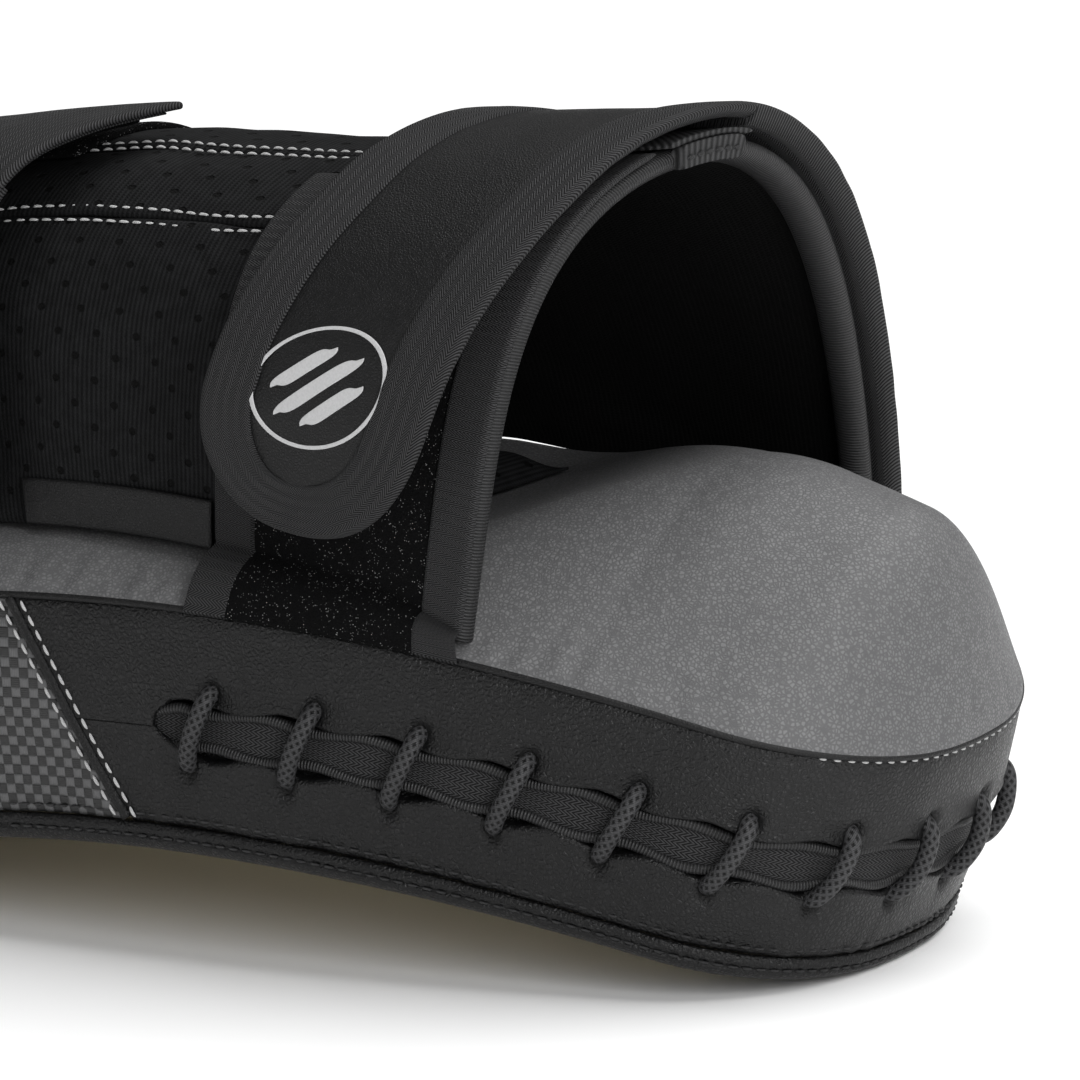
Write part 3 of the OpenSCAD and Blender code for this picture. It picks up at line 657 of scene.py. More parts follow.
def finish(key):
    """The finish named key, made once from the panel's colours."""
    if key in FINISHES:
        return FINISHES[key].material
    look, size = bpy.context.scene.shield_looks, bpy.context.scene.shield_sizes
    black, pale = tuple(look.black), tuple(look.black_light)
    cloth, cloth_light = tuple(look.cloth), tuple(look.cloth_light)
    grey, grey_light = tuple(look.grey), tuple(look.grey_light)
    makers = {
        "black": lambda: leather("black_leather", black, pale, size.grain, 0.24),
        "fine_black": lambda: leather("strap_leather", black, pale, size.grain * 0.6, 0.33, 0.05),
        "grey": lambda: leather("grey_leather", grey, grey_light, size.grain * 0.8, 0.36, 0.035),
        "weave": lambda: woven_panel("woven_panel", black, tuple(look.weave_light), size.check),
        "twill": lambda: twill("twill_binding", cloth, cloth_light),
        "gros": lambda: ribbed("cuff_tape", cloth, tuple(look.tape_light), 0.95, 0.34),
        "coarse": lambda: ribbed("keeper_webbing", cloth, cloth_light, 1.8, 0.55, 0.45, 0.35),
        "flat_web": lambda: twill("slot_webbing", cloth, cloth_light, 2.4, 1.5),
        "lace": lambda: braid("lace_braid", cloth, tuple(look.lace_light)),
        "knit": lambda: neoprene("neoprene", tuple(look.knit), tuple(look.knit_light)),
        # painted glints: the loop pile's bright loop tops take the white thread colour, the hook tape's the
        # webbing's light colour
        "pile": lambda: pile("loop_pile", black, tuple(look.white_thread)),
        "hook": lambda: pile("hook_tape", black, cloth_light),
        "white": lambda: plain_thread("white_thread", tuple(look.white_thread)),
        "dark": lambda: plain_thread("dark_thread", tuple(look.dark_thread)),
        "mark": lambda: rubber("raised_mark", tuple(look.mark), tuple(look.mark_light)),
        "wrap": lambda: rubber("grip_rubber", black, cloth),
        "foam": lambda: foam("cut_foam", tuple(look.foam)),
        "wood": lambda: wood("turned_wood", tuple(look.wood), tuple(look.wood_light)),
        "steel": lambda: metal("polished_steel", tuple(look.steel)),
    }
    FINISHES[key] = makers[key]()
    return FINISHES[key].material


# ---- pieces ------------------------------------------------------------------------------------


def place(obj, body, slot, *nodes):
    """Puts a piece on its body, in place of the CAD nodes it stands for. The slot is not used."""
    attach(obj, body)
    if nodes:
        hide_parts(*nodes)
    return obj


class Path:
    """The pad's outline from one side of the crown, round one end, to the other side."""

    def __init__(self, length, sign):
        turn = length - END + END * np.sin(np.linspace(0, np.pi / 2, 160))
        s = np.concatenate([np.linspace(-70, length - END, 160)[:-1], turn])
        t = half_at(sign * s)
        self.sign = sign
        self.s = np.concatenate([s, s[-2::-1]])
        self.t = np.concatenate([-t, t[-2::-1]])
        step = np.hypot(np.diff(self.s), np.diff(self.t))
        self.u = np.concatenate([[0], np.cumsum(step)])
        self.u -= np.interp(0, s, self.u[: len(s)])
        self.run = self.u[-1] + self.u[0]

    def spot(self, u):
        """Plan place and outward direction at u millimetres from the crown."""
        ahead = [np.interp(u + 3, self.u, v) - np.interp(u - 3, self.u, v) for v in (self.s, self.t)]
        size = np.hypot(*ahead)
        return np.interp(u, self.u, self.s), np.interp(u, self.u, self.t), ahead[1] / size, -ahead[0] / size

    def point(self, u, out, n):
        """Points u along the outline, out from it and n above the lower seam."""
        s, t, x, y = self.spot(np.asarray(u, float))
        return bend(self.sign * (s + out * x), t + out * y, n)

    def outward(self, u, n):
        """Unit directions away from the pad."""
        v = self.point(u, 1.0, n) - self.point(u, 0.0, n)
        return v / np.linalg.norm(v, axis=-1, keepdims=True)


ELBOW_WALL, HAND_WALL = Path(ELBOW, 1), Path(HAND, -1)
LACES = FIRST_LACE + PITCH * np.arange(int((ELBOW_WALL.run - 2 * FIRST_LACE) / PITCH) + 1)


def diag_at(n):
    """Place of the slanted elbow seam at each height."""
    return mix(DIAG_FOOT, DIAG_TOP, n / WALL)


def wall_out(n):
    """How far the side wall bulges at each height."""
    return BULGE * np.sin(np.pi * clamp(n / WALL))


def wall_roll(n):
    """How far a wall's skin turns in at both of its seams."""
    return -1.1 * np.exp(-n / 1.6) - 1.1 * np.exp(-(WALL - n) / 1.8)


def wall_edges(n):
    """Share of seam creases at each height."""
    return np.exp(-n / 7) + 0.6 * np.exp(-(WALL - n) / 9)


def slot_half(u):
    """Half height of the lacing slot, pinched under each lace and closed at its ends."""
    v = np.maximum(np.minimum(u, ELBOW_WALL.run - u) - SLOT_START + 4, 0)
    wave = (1 + np.cos(TAU * (u - FIRST_LACE - 0.35 * LACE_SLANT) / PITCH)) / 2
    return np.minimum(1, np.sqrt(v / 9)) * mix(SLOT_H, SLOT_PINCH, wave ** 0.8) / 2


def wall_relief(u, n):
    """Outward relief of the laced wall and how deep in a lace hole each point lies; that depth also paints
    shade into the holes.
    """
    hole, pull = 0.0, 0.0
    for u0 in LACES:
        for du, dn, lean in ((u - u0 - 0.4, n - HOLE_UP, 1.0), (u - u0 + LACE_SLANT, n - HOLE_DOWN, -1.0)):
            inner = np.exp(-(du / 2.3) ** 2 - ((dn - lean * 0.8) / 3.3) ** 2)
            hole, pull = np.maximum(hole, inner), pull + np.exp(-(du / 8) ** 2 - (dn / 7) ** 2)
    crease = noise(u / 3.4, n / 22 + 3, 5) * 0.35 * wall_edges(n) + noise(u / 26, n / 17, 6) * 0.55
    radial = noise(u / 5, n / 9, 11) * 0.5 * np.minimum(pull, 1)
    return crease + radial - 2.4 * hole - 0.55 * np.minimum(pull, 1), hole


def build_laced_wall():
    """The leather wall with its lacing slot, in one skin from seam to seam."""
    columns, path = 780, ELBOW_WALL
    share = np.linspace(0, 1, columns + 1)[:, None]
    rough_u = mix(-45, path.run + 45, share)
    edge = slot_half(rough_u)
    start = 1.3
    lips = np.array([[-2.6, 0.15], [-1.4, 0.35], [-0.6, 0.1], [-0.1, -0.6], [0.1, -1.6], [0.2, -3.6]])
    low = np.linspace(0.2, 1, 22)[None, :]
    heights = [mix(0.3, SLOT_MID - edge - 2.6, (low - 0.2) / 0.8)]
    outs = [np.zeros_like(heights[0])]
    open_now = clamp(edge / 2.5)
    heights += [SLOT_MID - edge + np.minimum(lips[None, 1:, 0], 0.2)]
    outs += [lips[None, 1:, 1] * open_now]
    inner = np.linspace(-0.9, 0.9, 7)[None, :]
    heights += [SLOT_MID + inner * np.maximum(edge - 0.3, 0)]
    outs += [np.full_like(heights[-1], -4.6) * open_now]
    heights += [SLOT_MID + edge - np.minimum(lips[None, :0:-1, 0], 0.2)]
    outs += [lips[None, :0:-1, 1] * open_now]
    heights += [mix(SLOT_MID + edge + 2.6, WALL - 0.2, (low - 0.2) / 0.8)]
    outs += [np.zeros_like(heights[-1])]
    n = np.concatenate([np.broadcast_to(h, (columns + 1, h.shape[1])) for h in heights], 1)
    out = np.concatenate([np.broadcast_to(o, (columns + 1, o.shape[1])) for o in outs], 1)
    u = mix(diag_at(n) + start, path.run - diag_at(n) - start, share)
    relief, hole = wall_relief(u, n)
    calm = clamp((out + 3) / 3)
    out = out + wall_out(n) + relief * calm + wall_roll(n)
    # painted shade: the slot's deep recess joins the lace holes in the mask that blackens the leather
    hole = np.maximum(hole, (out < -2.5) * 0.6)
    inner_n = np.broadcast_to(np.array([[WALL - 0.6, 0.6]]), (columns + 1, 2))
    inner_u = mix(diag_at(inner_n) + start, path.run - diag_at(inner_n) - start, share)
    u, n = np.concatenate([u, inner_u], 1), np.concatenate([n, inner_n], 1)
    out = np.concatenate([out, np.full_like(inner_n, -9.5)], 1)
    hole = np.concatenate([hole, np.zeros_like(inner_n)], 1)
    uv = np.stack([u, n], -1)
    obj = loft("laced_wall", path.point(u, out, n), finish("black"), uv, extra={"hole": hole})
    place(obj, "pad", "black_leather", "wall_upper", "wall_lower", "lace_tongue")


def build_hand_wall():
    """The plain leather wall round the hand end."""
    share = np.linspace(0, 1, 520)[:, None]
    n = np.broadcast_to(np.linspace(0.3, WALL - 0.2, 30)[None, :], (520, 30))
    edge = HAND_SHIFT + 1.3
    u_of = lambda n: mix(edge + diag_at(n), HAND_WALL.run - edge - diag_at(n), share)
    u = u_of(n)
    crease = noise(u / 3.4, n / 22, 8) * 0.35 * wall_edges(n) + noise(u / 26, n / 17, 9) * 0.6
    out = wall_out(n) + crease + wall_roll(n)
    back = np.broadcast_to(np.array([[WALL - 0.6, 0.6]]), (520, 2))
    u, n = np.concatenate([u, u_of(back)], 1), np.concatenate([n, back], 1)
    out = np.concatenate([out, np.full_like(back, -2.5)], 1)
    obj = loft("hand_wall", HAND_WALL.point(u, out, n), finish("black"), np.stack([u, n], -1),
               extra={"hole": np.zeros_like(n)})
    place(obj, "pad", "black_leather", "wall_hand")


def side_point(side, s, out, n):
    """Points out from the pad's edge on one side."""
    return bend(s, side * (half_at(s) + out), n)


def build_side_panel(side, label):
    """A woven panel between its two slanted seams, with pipings and white stitches."""
    share = np.linspace(0, 1, 150)[:, None]
    n = np.broadcast_to(np.linspace(0.3, WALL - 0.2, 60)[None, :], (150, 60))
    s_of = lambda n: mix(-HAND_SHIFT - diag_at(n) + 1.3, diag_at(n) - 1.3, share)
    s = s_of(n)
    near_edge = np.minimum(diag_at(n) - s, s + HAND_SHIFT + diag_at(n))
    out = wall_out(n) - 0.9 * np.exp(-near_edge / 1.5) + wall_roll(n) + 0.5 * noise(s / 21, n / 15, 21)
    back = np.broadcast_to(np.array([[WALL - 0.6, 0.6]]), (150, 2))
    s, n = np.concatenate([s, s_of(back)], 1), np.concatenate([n, back], 1)
    out = np.concatenate([out, np.full_like(back, -2.5)], 1)
    obj = loft("woven_panel_" + label, side_point(side, s, out, n), finish("weave"), np.stack([s, n], -1))
    place(obj, "pad", "woven_panel", "weave_panel_" + label)
    n = np.linspace(0.8, WALL - 0.8, 60)
    for end, name in ((1, "elbow"), (-1, "hand")):
        seam = diag_at(n) if end > 0 else -HAND_SHIFT - diag_at(n)
        line = side_point(side, seam, wall_out(n) - 0.5, n)
        hint = side_point(side, seam, wall_out(n) + 1, n) - line
        cord = tube(f"diagonal_piping_{label}_{name}", line, 1.5, hint, finish("fine_black"), 12)
        place(cord, "pad", "piping", f"diag_piping_{label}_{name}")
        up = hint / np.linalg.norm(hint, axis=1, keepdims=True)
        for shift, part in ((-3.2, "in"), (3.4, "out")):
            line = side_point(side, seam + end * shift, wall_out(n) + 0.25, n)
            sewn = stitches(f"diagonal_stitches_{label}_{name}_{part}", line, up, finish("white"), 4.6)
            place(sewn, "pad", "lace_cord")


def build_lacing():
    """The slot's ribs and webbing, and the lace wound over it."""
    path = ELBOW_WALL
    u = np.linspace(SLOT_START + 4, path.run - SLOT_START - 4, 620)
    pinch = (1 + np.cos(TAU * (u - FIRST_LACE) / PITCH)) / 2
    fade = clamp(np.minimum(u - SLOT_START, path.run - SLOT_START - u) / 14)
    for name, side, node in (("upper_rib", 1, "lace_rib_upper"), ("lower_rib", -1, "lace_rib_lower")):
        n = SLOT_MID + side * mix(2.0, mix(6.3, 4.6, pinch), fade)
        line = path.point(u, wall_out(SLOT_MID) - 2.3 - 0.5 * pinch, n)
        cord = tube(name, line, 1.6, path.outward(u, n), finish("gros"), 14)
        place(cord, "pad", "piping", node)
    v, d = section(-5.0, 5.0, -1.2, 0.0, 9, 0.6)
    wide = mix(0.5, mix(1.0, 0.72, pinch), fade)[:, None]
    crown = 0.25 * np.cos(v[None, :] / 5.0 * 1.5)
    out = wall_out(SLOT_MID) - 1.9 - 0.5 * pinch[:, None] + d[None, :] + crown
    points = path.point(u[:, None], out, SLOT_MID + v[None, :] * wide)
    uv = np.stack(np.broadcast_arrays(u[:, None], v[None, :]), -1)
    place(loft("slot_webbing", points, finish("flat_web"), uv), "pad", "webbing", "lace_webbing")
    keys = []
    side = wall_out(SLOT_MID)
    for u0 in LACES:
        keys += [
            [u0 - LACE_SLANT - 1.2, -7.5, HOLE_DOWN - 0.5],
            [u0 - LACE_SLANT, -0.8, HOLE_DOWN + 0.6],
            [u0 - 0.85 * LACE_SLANT, side + 0.6, HOLE_DOWN + 3.4],
            [u0 - 0.5 * LACE_SLANT, side + 2.4, SLOT_MID],
            [u0 - 0.12 * LACE_SLANT, side + 0.8, HOLE_UP - 2.6],
            [u0, -0.8, HOLE_UP + 0.2],
            [u0 + 1.4, -7.5, HOLE_UP + 1.2],
        ]
    keys = np.array(keys)
    fine = np.linspace(0, len(keys) - 1, len(keys) * 9)
    low = np.floor(fine).astype(int).clip(0, len(keys) - 2)
    f = (fine - low)[:, None]
    p0, p1 = keys[np.maximum(low - 1, 0)], keys[low]
    p2, p3 = keys[low + 1], keys[np.minimum(low + 2, len(keys) - 1)]
    square, cube = 2 * p0 - 5 * p1 + 4 * p2 - p3, 3 * p1 - p0 - 3 * p2 + p3
    run = 0.5 * (2 * p1 + (p2 - p0) * f + square * f ** 2 + cube * f ** 3)
    line = path.point(run[:, 0], run[:, 1], run[:, 2])
    hint = path.point(run[:, 0] + 5, run[:, 1], run[:, 2]) - path.point(run[:, 0] - 5, run[:, 1], run[:, 2])
    cord = tube("side_lace", line, 2.6, hint, finish("lace"), 18)
    place(cord, "pad", "lace_cord", "side_lace")


def seam_run(path, count_elbow, count_hand):
    """Places along one end's seam; both ends together go once round the pad."""
    if path is ELBOW_WALL:
        return np.linspace(-60, path.run + 60, count_elbow)
    return np.linspace(62, path.run - 62, count_hand)


def perimeter(inset, count=300):
    """Plan places all round the pad, moved in by inset, from the hand end's near corner."""
    length_h, length_e, r = HAND - inset, ELBOW - inset, END - inset
    arc = np.linspace(0, np.pi / 2, 40)
    hand = -(length_h - r + r * np.sin(arc) ** (2 / POWER))[::-1]
    elbow = length_e - r + r * np.sin(arc) ** (2 / POWER)
    s = np.concatenate([hand[:-1], np.linspace(hand[-1], elbow[0], count), elbow[1:]])
    half = np.maximum(half_at(s, inset), 0.5)
    return np.concatenate([s, s[::-1]]), np.concatenate([-half, half[::-1]])


def build_strike_cover():
    """The rolled striking face below the lower seam, its welt and its stitches."""
    levels = [(6, -5.5), (4, -0.4), (1.6, -0.15), (0.6, -0.1), (0.1, -0.5), (-0.4, -1.4),
              (-0.5, -2.6), (0.1, -3.5), (0.2, -3.9), (-0.3, -4.4), (0.0, -5.4), (0.9, -6.5),
              (2.3, -7.6), (4.4, -8.4), (7.5, -8.8), (12, -9.0), (22, -9.0), (45, -9.0)]
    rows, flows = [], []
    for inset, n in levels:
        s, t = perimeter(inset)
        run = np.concatenate([[0], np.cumsum(np.hypot(np.diff(s), np.diff(t)))])
        ripple = 0.28 * noise(run / 5, np.full_like(run, n / 9), 31) * clamp(1 - abs(n + 4) / 4)
        rows.append(bend(s * (1 + ripple / 190), t * (1 + ripple / 90), n))
        flows.append(np.stack([run, np.full_like(run, n - inset)], -1))
    points = np.array(rows)
    obj = loft("striking_face", points, finish("black"), np.array(flows),
               extra={"hole": np.zeros(points.shape[:2])})
    place(obj, "pad", "black_leather", "strike_cover")
    for path, name in ((ELBOW_WALL, "elbow"), (HAND_WALL, "hand")):
        for out, n, part in ((0.25, -3.7, "welt"), (-0.15, 2.6, "wall")):
            u = seam_run(path, 700, 600)
            line, up = path.point(u, out + (wall_out(n) if n > 0 else 0), n), path.outward(u, n)
            sewn = stitches(f"lower_stitches_{name}_{part}", line, up, finish("dark"), 4.2, 0.7, 0.42)
            place(sewn, "pad", "piping")


def build_back():
    """The grey padded back with its elbow hump, puckered along its seam."""
    arc = np.linspace(0, np.pi / 2, 60)
    hand = -(HAND - END + END * np.sin(arc) ** (2 / POWER))[::-1]
    elbow = ELBOW - END + END * np.sin(arc) ** (2 / POWER)
    s = np.concatenate([hand[:-1], np.linspace(hand[-1], elbow[0], 300), elbow[1:]])[:, None]
    f = np.sin(np.linspace(-np.pi / 2, np.pi / 2, 200))[None, :]
    half = np.maximum(half_at(s), 0.5)
    t = f * half
    n = back_n(s, t)
    inset = np.minimum(half - np.abs(t), np.minimum(ELBOW - s, HAND + s))
    corner, far_side = 75, 400
    x = np.maximum(s - (ELBOW - corner), 0) + np.minimum(s + (HAND - corner), 0)
    turn = np.arctan2(np.abs(x), np.maximum(np.abs(t), 1e-6))
    bent = np.sign(x) * corner * turn + np.where(x > 0, ELBOW - corner, -(HAND - corner))
    run = np.where(x == 0, s, bent) + far_side * (t > 0)
    fine_pucker = noise(run / 4.2, inset / 30, 41) * np.exp(-inset / 9) * 0.9
    pucker = fine_pucker + noise(run / 11, inset / 22, 42) * np.exp(-inset / 20) * 0.8
    soft = noise(s / 33, t / 27, 43) * 0.7 * smooth(inset / 25)
    tuck = -1.0 * np.exp(-inset / 1.3)
    n = n + (pucker * smooth(inset / 3) + soft) * smooth(inset / 4) + tuck
    n = np.concatenate([n, np.full((len(s), 2), WALL + 0.2)], 1)
    t = np.concatenate([t, 0.5 * half, -0.5 * half], 1)
    points = bend(s, t, n)
    uv = np.stack([np.broadcast_to(s, t.shape), t], -1)
    obj = loft("padded_back", points, finish("grey"), uv, extra={"hole": np.zeros(t.shape)})
    place(obj, "pad", "grey_leather", "back_cover")
    for path, name in ((ELBOW_WALL, "elbow"), (HAND_WALL, "hand")):
        u = seam_run(path, 600, 500)
        ends = np.linspace(WHITE_FROM, path.run - WHITE_FROM, 200)
        line, up = path.point(ends, -0.25, WALL - 0.9), path.outward(ends, WALL - 1)
        sewn = stitches("upper_stitches_" + name, line, up, finish("white"), 4.4, 0.5, 0.34)
        place(sewn, "pad", "lace_cord")
        line = path.point(u, -0.8, WALL + 0.1)
        cord = tube("upper_welt_" + name, line, 1.0, path.outward(u, WALL), finish("fine_black"), 10)
        place(cord, "pad", "piping")


def build_rest():
    """The soft forearm rest on the tunnel's floor."""
    turn = np.linspace(0, np.pi, 90)[:, None]
    s = mix(REST_HAND, REST_ELBOW, (1 - np.cos(turn)) / 2)
    f = np.sin(np.linspace(-np.pi / 2, np.pi / 2, 70))[None, :]
    half, edge, high = 44, 12, 8
    t = -mix(ARM_LEAN - 4, ARM_LEAN, reach(s)) + 4 + f * half
    soft = quarter(half * (1 - np.abs(f)) / edge)
    soft = soft * quarter(np.minimum(s - REST_HAND, REST_ELBOW - s) / edge)
    floor = back_n(s + SKEW * (t + HALF), t) + 1.0
    top = floor + 0.8 + high * soft + 0.5 * noise(s / 19, t / 15, 51) * soft
    where = lambda n, k: bend(s + SKEW * (t + HALF), t, n)[:, ::k]
    points = np.concatenate([where(top, 1), where(floor, -1)], 1)
    flow = np.stack([np.broadcast_to(s, t.shape), t], -1)
    obj = loft("forearm_rest_pad", points, finish("knit"), np.concatenate([flow, flow[:, ::-1]], 1))
    place(obj, "pad", "rest_fabric", "forearm_rest")


def arc_run(surface, mid, share, d):
    """Millimetres along a curve from its first share."""
    return along(surface(mid, share, d))


def foot_rows(s, d, first, count=16):
    """Rows that run from the near seam up to a shell's first row, over the back's edge."""
    at, rise = s + SKEW * 3, d - d.min()
    low = bend(at, -(half_at(at) + 0.4 + 0.5 * rise), WALL - 0.6 + 0.5 * rise)
    k = np.linspace(0, 1, count + 1)[:-1, None, None]
    return mix(low[None], first[None], k) + 0.0032 * np.sin(np.pi * k) * np.array([0, -0.7, 0.7])


def shell(name, shares, span, depth, material, rows=120, across=40, edge=0.8, swell=None,
          surface=over, foot=False):
    """A rounded-edged shell over the arm tunnel, its rows running over the arch.

    It covers the arch between two shares, the tunnel between two places and the space between two
    distances from the surface."""
    (f0, f1), (s0, s1), (d0, d1) = shares, span, depth
    share = np.linspace(f0, f1, rows)
    s, d = section(s0, s1, d0, d1, across, edge)
    ends = np.minimum(share - f0, f1 - share) / (f1 - f0) * rows
    shrink = 1 - 0.55 * np.exp(-ends / 1.2)
    middle = (d0 + d1) / 2
    d = middle + (d[None, :] - middle) * shrink[:, None]
    s = np.broadcast_to(s[None, :], d.shape)
    if swell is not None:
        d = d + swell(s, share[:, None])
    run = arc_run(surface, (s0 + s1) / 2, share, d1)
    uv = np.stack([s, np.broadcast_to(run[:, None], s.shape)], -1)
    # the inner half of every shell is marked for the knit's painted shade
    points, inner_shade = surface(s, share[:, None], d), (d < middle).astype(float)
    if foot:
        extra = foot_rows(s[0], d[len(d) // 2], points[0])
        points = np.concatenate([extra, points])
        before = np.linspace(1, 1 / len(extra), len(extra))[:, None, None] * np.array([0, 18.0])
        uv = np.concatenate([uv[:1] - before, uv])
        inner_shade = np.concatenate([np.repeat(inner_shade[:1], len(extra), 0), inner_shade])
    return loft(name, points, material, uv, extra={"inner_shade": inner_shade})


def seam_line(name, share, s0, s1, d, shifts):
    """Rows of white stitches along the tunnel at a share of the arch."""
    s = np.linspace(s0, s1, 260)
    wave = 0.0022 * noise(s / 17, s * 0 + share * 9, 61)
    shares = np.linspace(0, 1, 400)
    run = arc_run(over, 0.0, shares, d)
    for k, shift in enumerate(shifts):
        at = np.interp(np.interp(share, shares, run) + shift, run, shares) + wave
        line, above = over(s, at, d), over(s, at, d + 1)
        sewn = stitches(f"{name}_{k}", line, (above - line) / MM, finish("white"), 4.4, 0.72, 0.42)
        place(sewn, "pad", "lace_cord")


def build_sleeve():
    """The perforated sleeve in three panels, its double seams and its hem strips; the panels' inner halves
    carry painted shade.
    """
    def wrinkle(seed):
        def depth(s, f):
            soft = 0.9 * noise(s / 24, f * 13, seed) + 0.35 * noise(s / 9, f * 30, seed + 1)
            return soft * smooth((SLEEVE_END - s) / 15)
        return depth

    span, knit = (SLEEVE_HAND, SLEEVE_END), finish("knit")
    panels = (("near", (0, SEAM_NEAR - 0.001), 71, 130), ("shoulder", (SEAM_NEAR, SEAM_TOP - 0.001), 73, 60),
              ("far", (SEAM_TOP, 1), 75, 190))
    for label, shares, seed, rows in panels:
        name, depth = "sleeve_panel_" + label, (-SLEEVE_T, 0)
        obj = shell(name, shares, span, depth, knit, rows, 110, 1.2, wrinkle(seed))
        place(obj, "pad", "neoprene", "sleeve_" + label)
    for share, name in ((SEAM_NEAR, "near_seam"), (SEAM_TOP, "top_seam")):
        seam_line("sleeve_" + name, share, SLEEVE_HAND + 3, A_HAND + 30, 0.35, (-2.6, 2.6))
    span = (B_ELBOW + 2, LOOP_HAND - 2)
    for label, shares in (("near", (0.002, 0.045)), ("far", (0.955, 0.998))):
        obj = shell("sleeve_hem_strip_" + label, shares, span, (0.2, 1.8), finish("fine_black"), 24, 50)
        place(obj, "pad", "webbing", "sleeve_hem_" + label)


def build_cuff():
    """The ribbed roll round the tunnel's mouth and the webbing keeper on top of it."""
    share, q = np.linspace(0, 1, 420)[:, None], np.linspace(0, TAU, 28, endpoint=False)[None, :]
    r = 3.6
    s = SLEEVE_END + 0.3 + r + r * np.cos(q)
    d = 0.3 - r + r * np.sin(q) + 0 * share
    run = arc_run(over, MOUTH, share[:, 0], 0)
    uv = np.stack(np.broadcast_arrays(run[:, None], q / TAU * 20), -1)
    obj = loft("cuff_roll", over(s + 0 * share, share + 0 * q, d), finish("gros"), uv)
    place(obj, "pad", "webbing", "cuff_binding")
    coarse = finish("coarse")
    obj = shell("keeper_webbing", (0.445, 0.53), (MOUTH - 9, MOUTH + 1.5), (0.9, 2.8), coarse, 50, 20, 0.7)
    place(obj, "pad", "webbing", "keeper_tab")
    obj = shell("keeper_face", (0.452, 0.523), (MOUTH - 0.6, MOUTH + 2.2), (-6.5, 0.8), coarse, 50, 8, 0.7)
    place(obj, "pad", "webbing")
    share = np.linspace(0.456, 0.519, 60)
    line, above = over(MOUTH + 2.4, share, -3.2), over(MOUTH + 3.4, share, -3.2)
    sewn = stitches("keeper_stitches", line, (above - line) / MM, finish("dark"), 3.6)
    place(sewn, "pad", "piping")


def build_loop_panels():
    """The fuzzy loop panels under both straps, with webbing borders on the elbow one."""
    start, end = 0.01, 0.40
    tape, soft, twilled = (LOOP_OUT, LOOP_OUT + LOOP_T), finish("pile"), finish("twill")
    span, low = (LOOP_HAND + BORDER - 1, A_ELBOW - BORDER + 1), (LOOP_OUT, LOOP_OUT + LOOP_T - 0.8)
    obj = shell("elbow_loop_pile", (start, end), span, low, soft, 130, 50, foot=True)
    place(obj, "pad", "loop_pile", "loop_panel_a")
    span = (A_ELBOW - BORDER, A_ELBOW)
    obj = shell("elbow_border_mouth", (start, end + 0.03), span, tape, twilled, 160, 16, 1.2, foot=True)
    place(obj, "pad", "webbing", "loop_border_a_elbow")
    span = (LOOP_HAND, LOOP_HAND + BORDER)
    obj = shell("elbow_border_hand", (start, end), span, tape, twilled, 140, 16, 1.2, foot=True)
    place(obj, "pad", "webbing", "loop_border_a_hand")
    obj = shell("wrist_loop_pile", (0.42, 0.975), (B_HAND + 4, B_ELBOW - 4), tape, soft, 120, 50)
    place(obj, "pad", "loop_pile", "loop_panel_b")


class Strap:
    """Flat coordinates of a strap: millimetres from its tip along its outside, and across it."""

    def __init__(self, surface, first, last, mid, top):
        self.share = np.linspace(first, last, 700)
        self.x = arc_run(surface, mid, self.share, top)
        self.surface, self.mid = surface, mid

    def at_share(self, f):
        """Millimetres from the tip at share f of the arch."""
        return float(np.interp(f, self.share, self.x))

    def point(self, x, y, d):
        return self.surface(self.mid + y, np.interp(x, self.x, self.share), d)


def tip_stand(f):
    """How far the elbow strap's free tip stands off the loop panel."""
    return A_LIFT * smooth((A_NEAR - f) / 0.22)


def elbow_surface(s, f, d):
    """Points d above the elbow strap's inside; its tip stands off and swings towards the hand."""
    return over(s - A_SHIFT * smooth((A_NEAR - f) / 0.3), f, STRAP_IN + d + tip_stand(f))


ELBOW_STRAP = Strap(elbow_surface, A_END, A_ROOT, (A_HAND + A_ELBOW) / 2, STRAP_T)
STRAP_HALF, TIP_RUN = 31.0, 40.0
MARK_R, MARK_TURN = 17.4, 0.75


def outline(inset, x_end, count=150):
    """The elbow strap's border, moved in by inset, from x_end on one side round the tip and back."""
    a = np.linspace(0, np.pi / 2, 70)
    h, r = STRAP_HALF - inset, TIP_RUN - inset
    x_tip, y_tip = TIP_RUN - r * np.cos(a[::-1]) ** 0.9, h * np.sin(a[::-1]) ** 0.9
    x_side = np.linspace(x_end, TIP_RUN, count)[:-1]
    x = np.concatenate([x_side, x_tip])
    y = np.concatenate([np.full(count - 1, h), y_tip])
    return np.concatenate([x, x[-2::-1]]), np.concatenate([y, -y[-2::-1]])


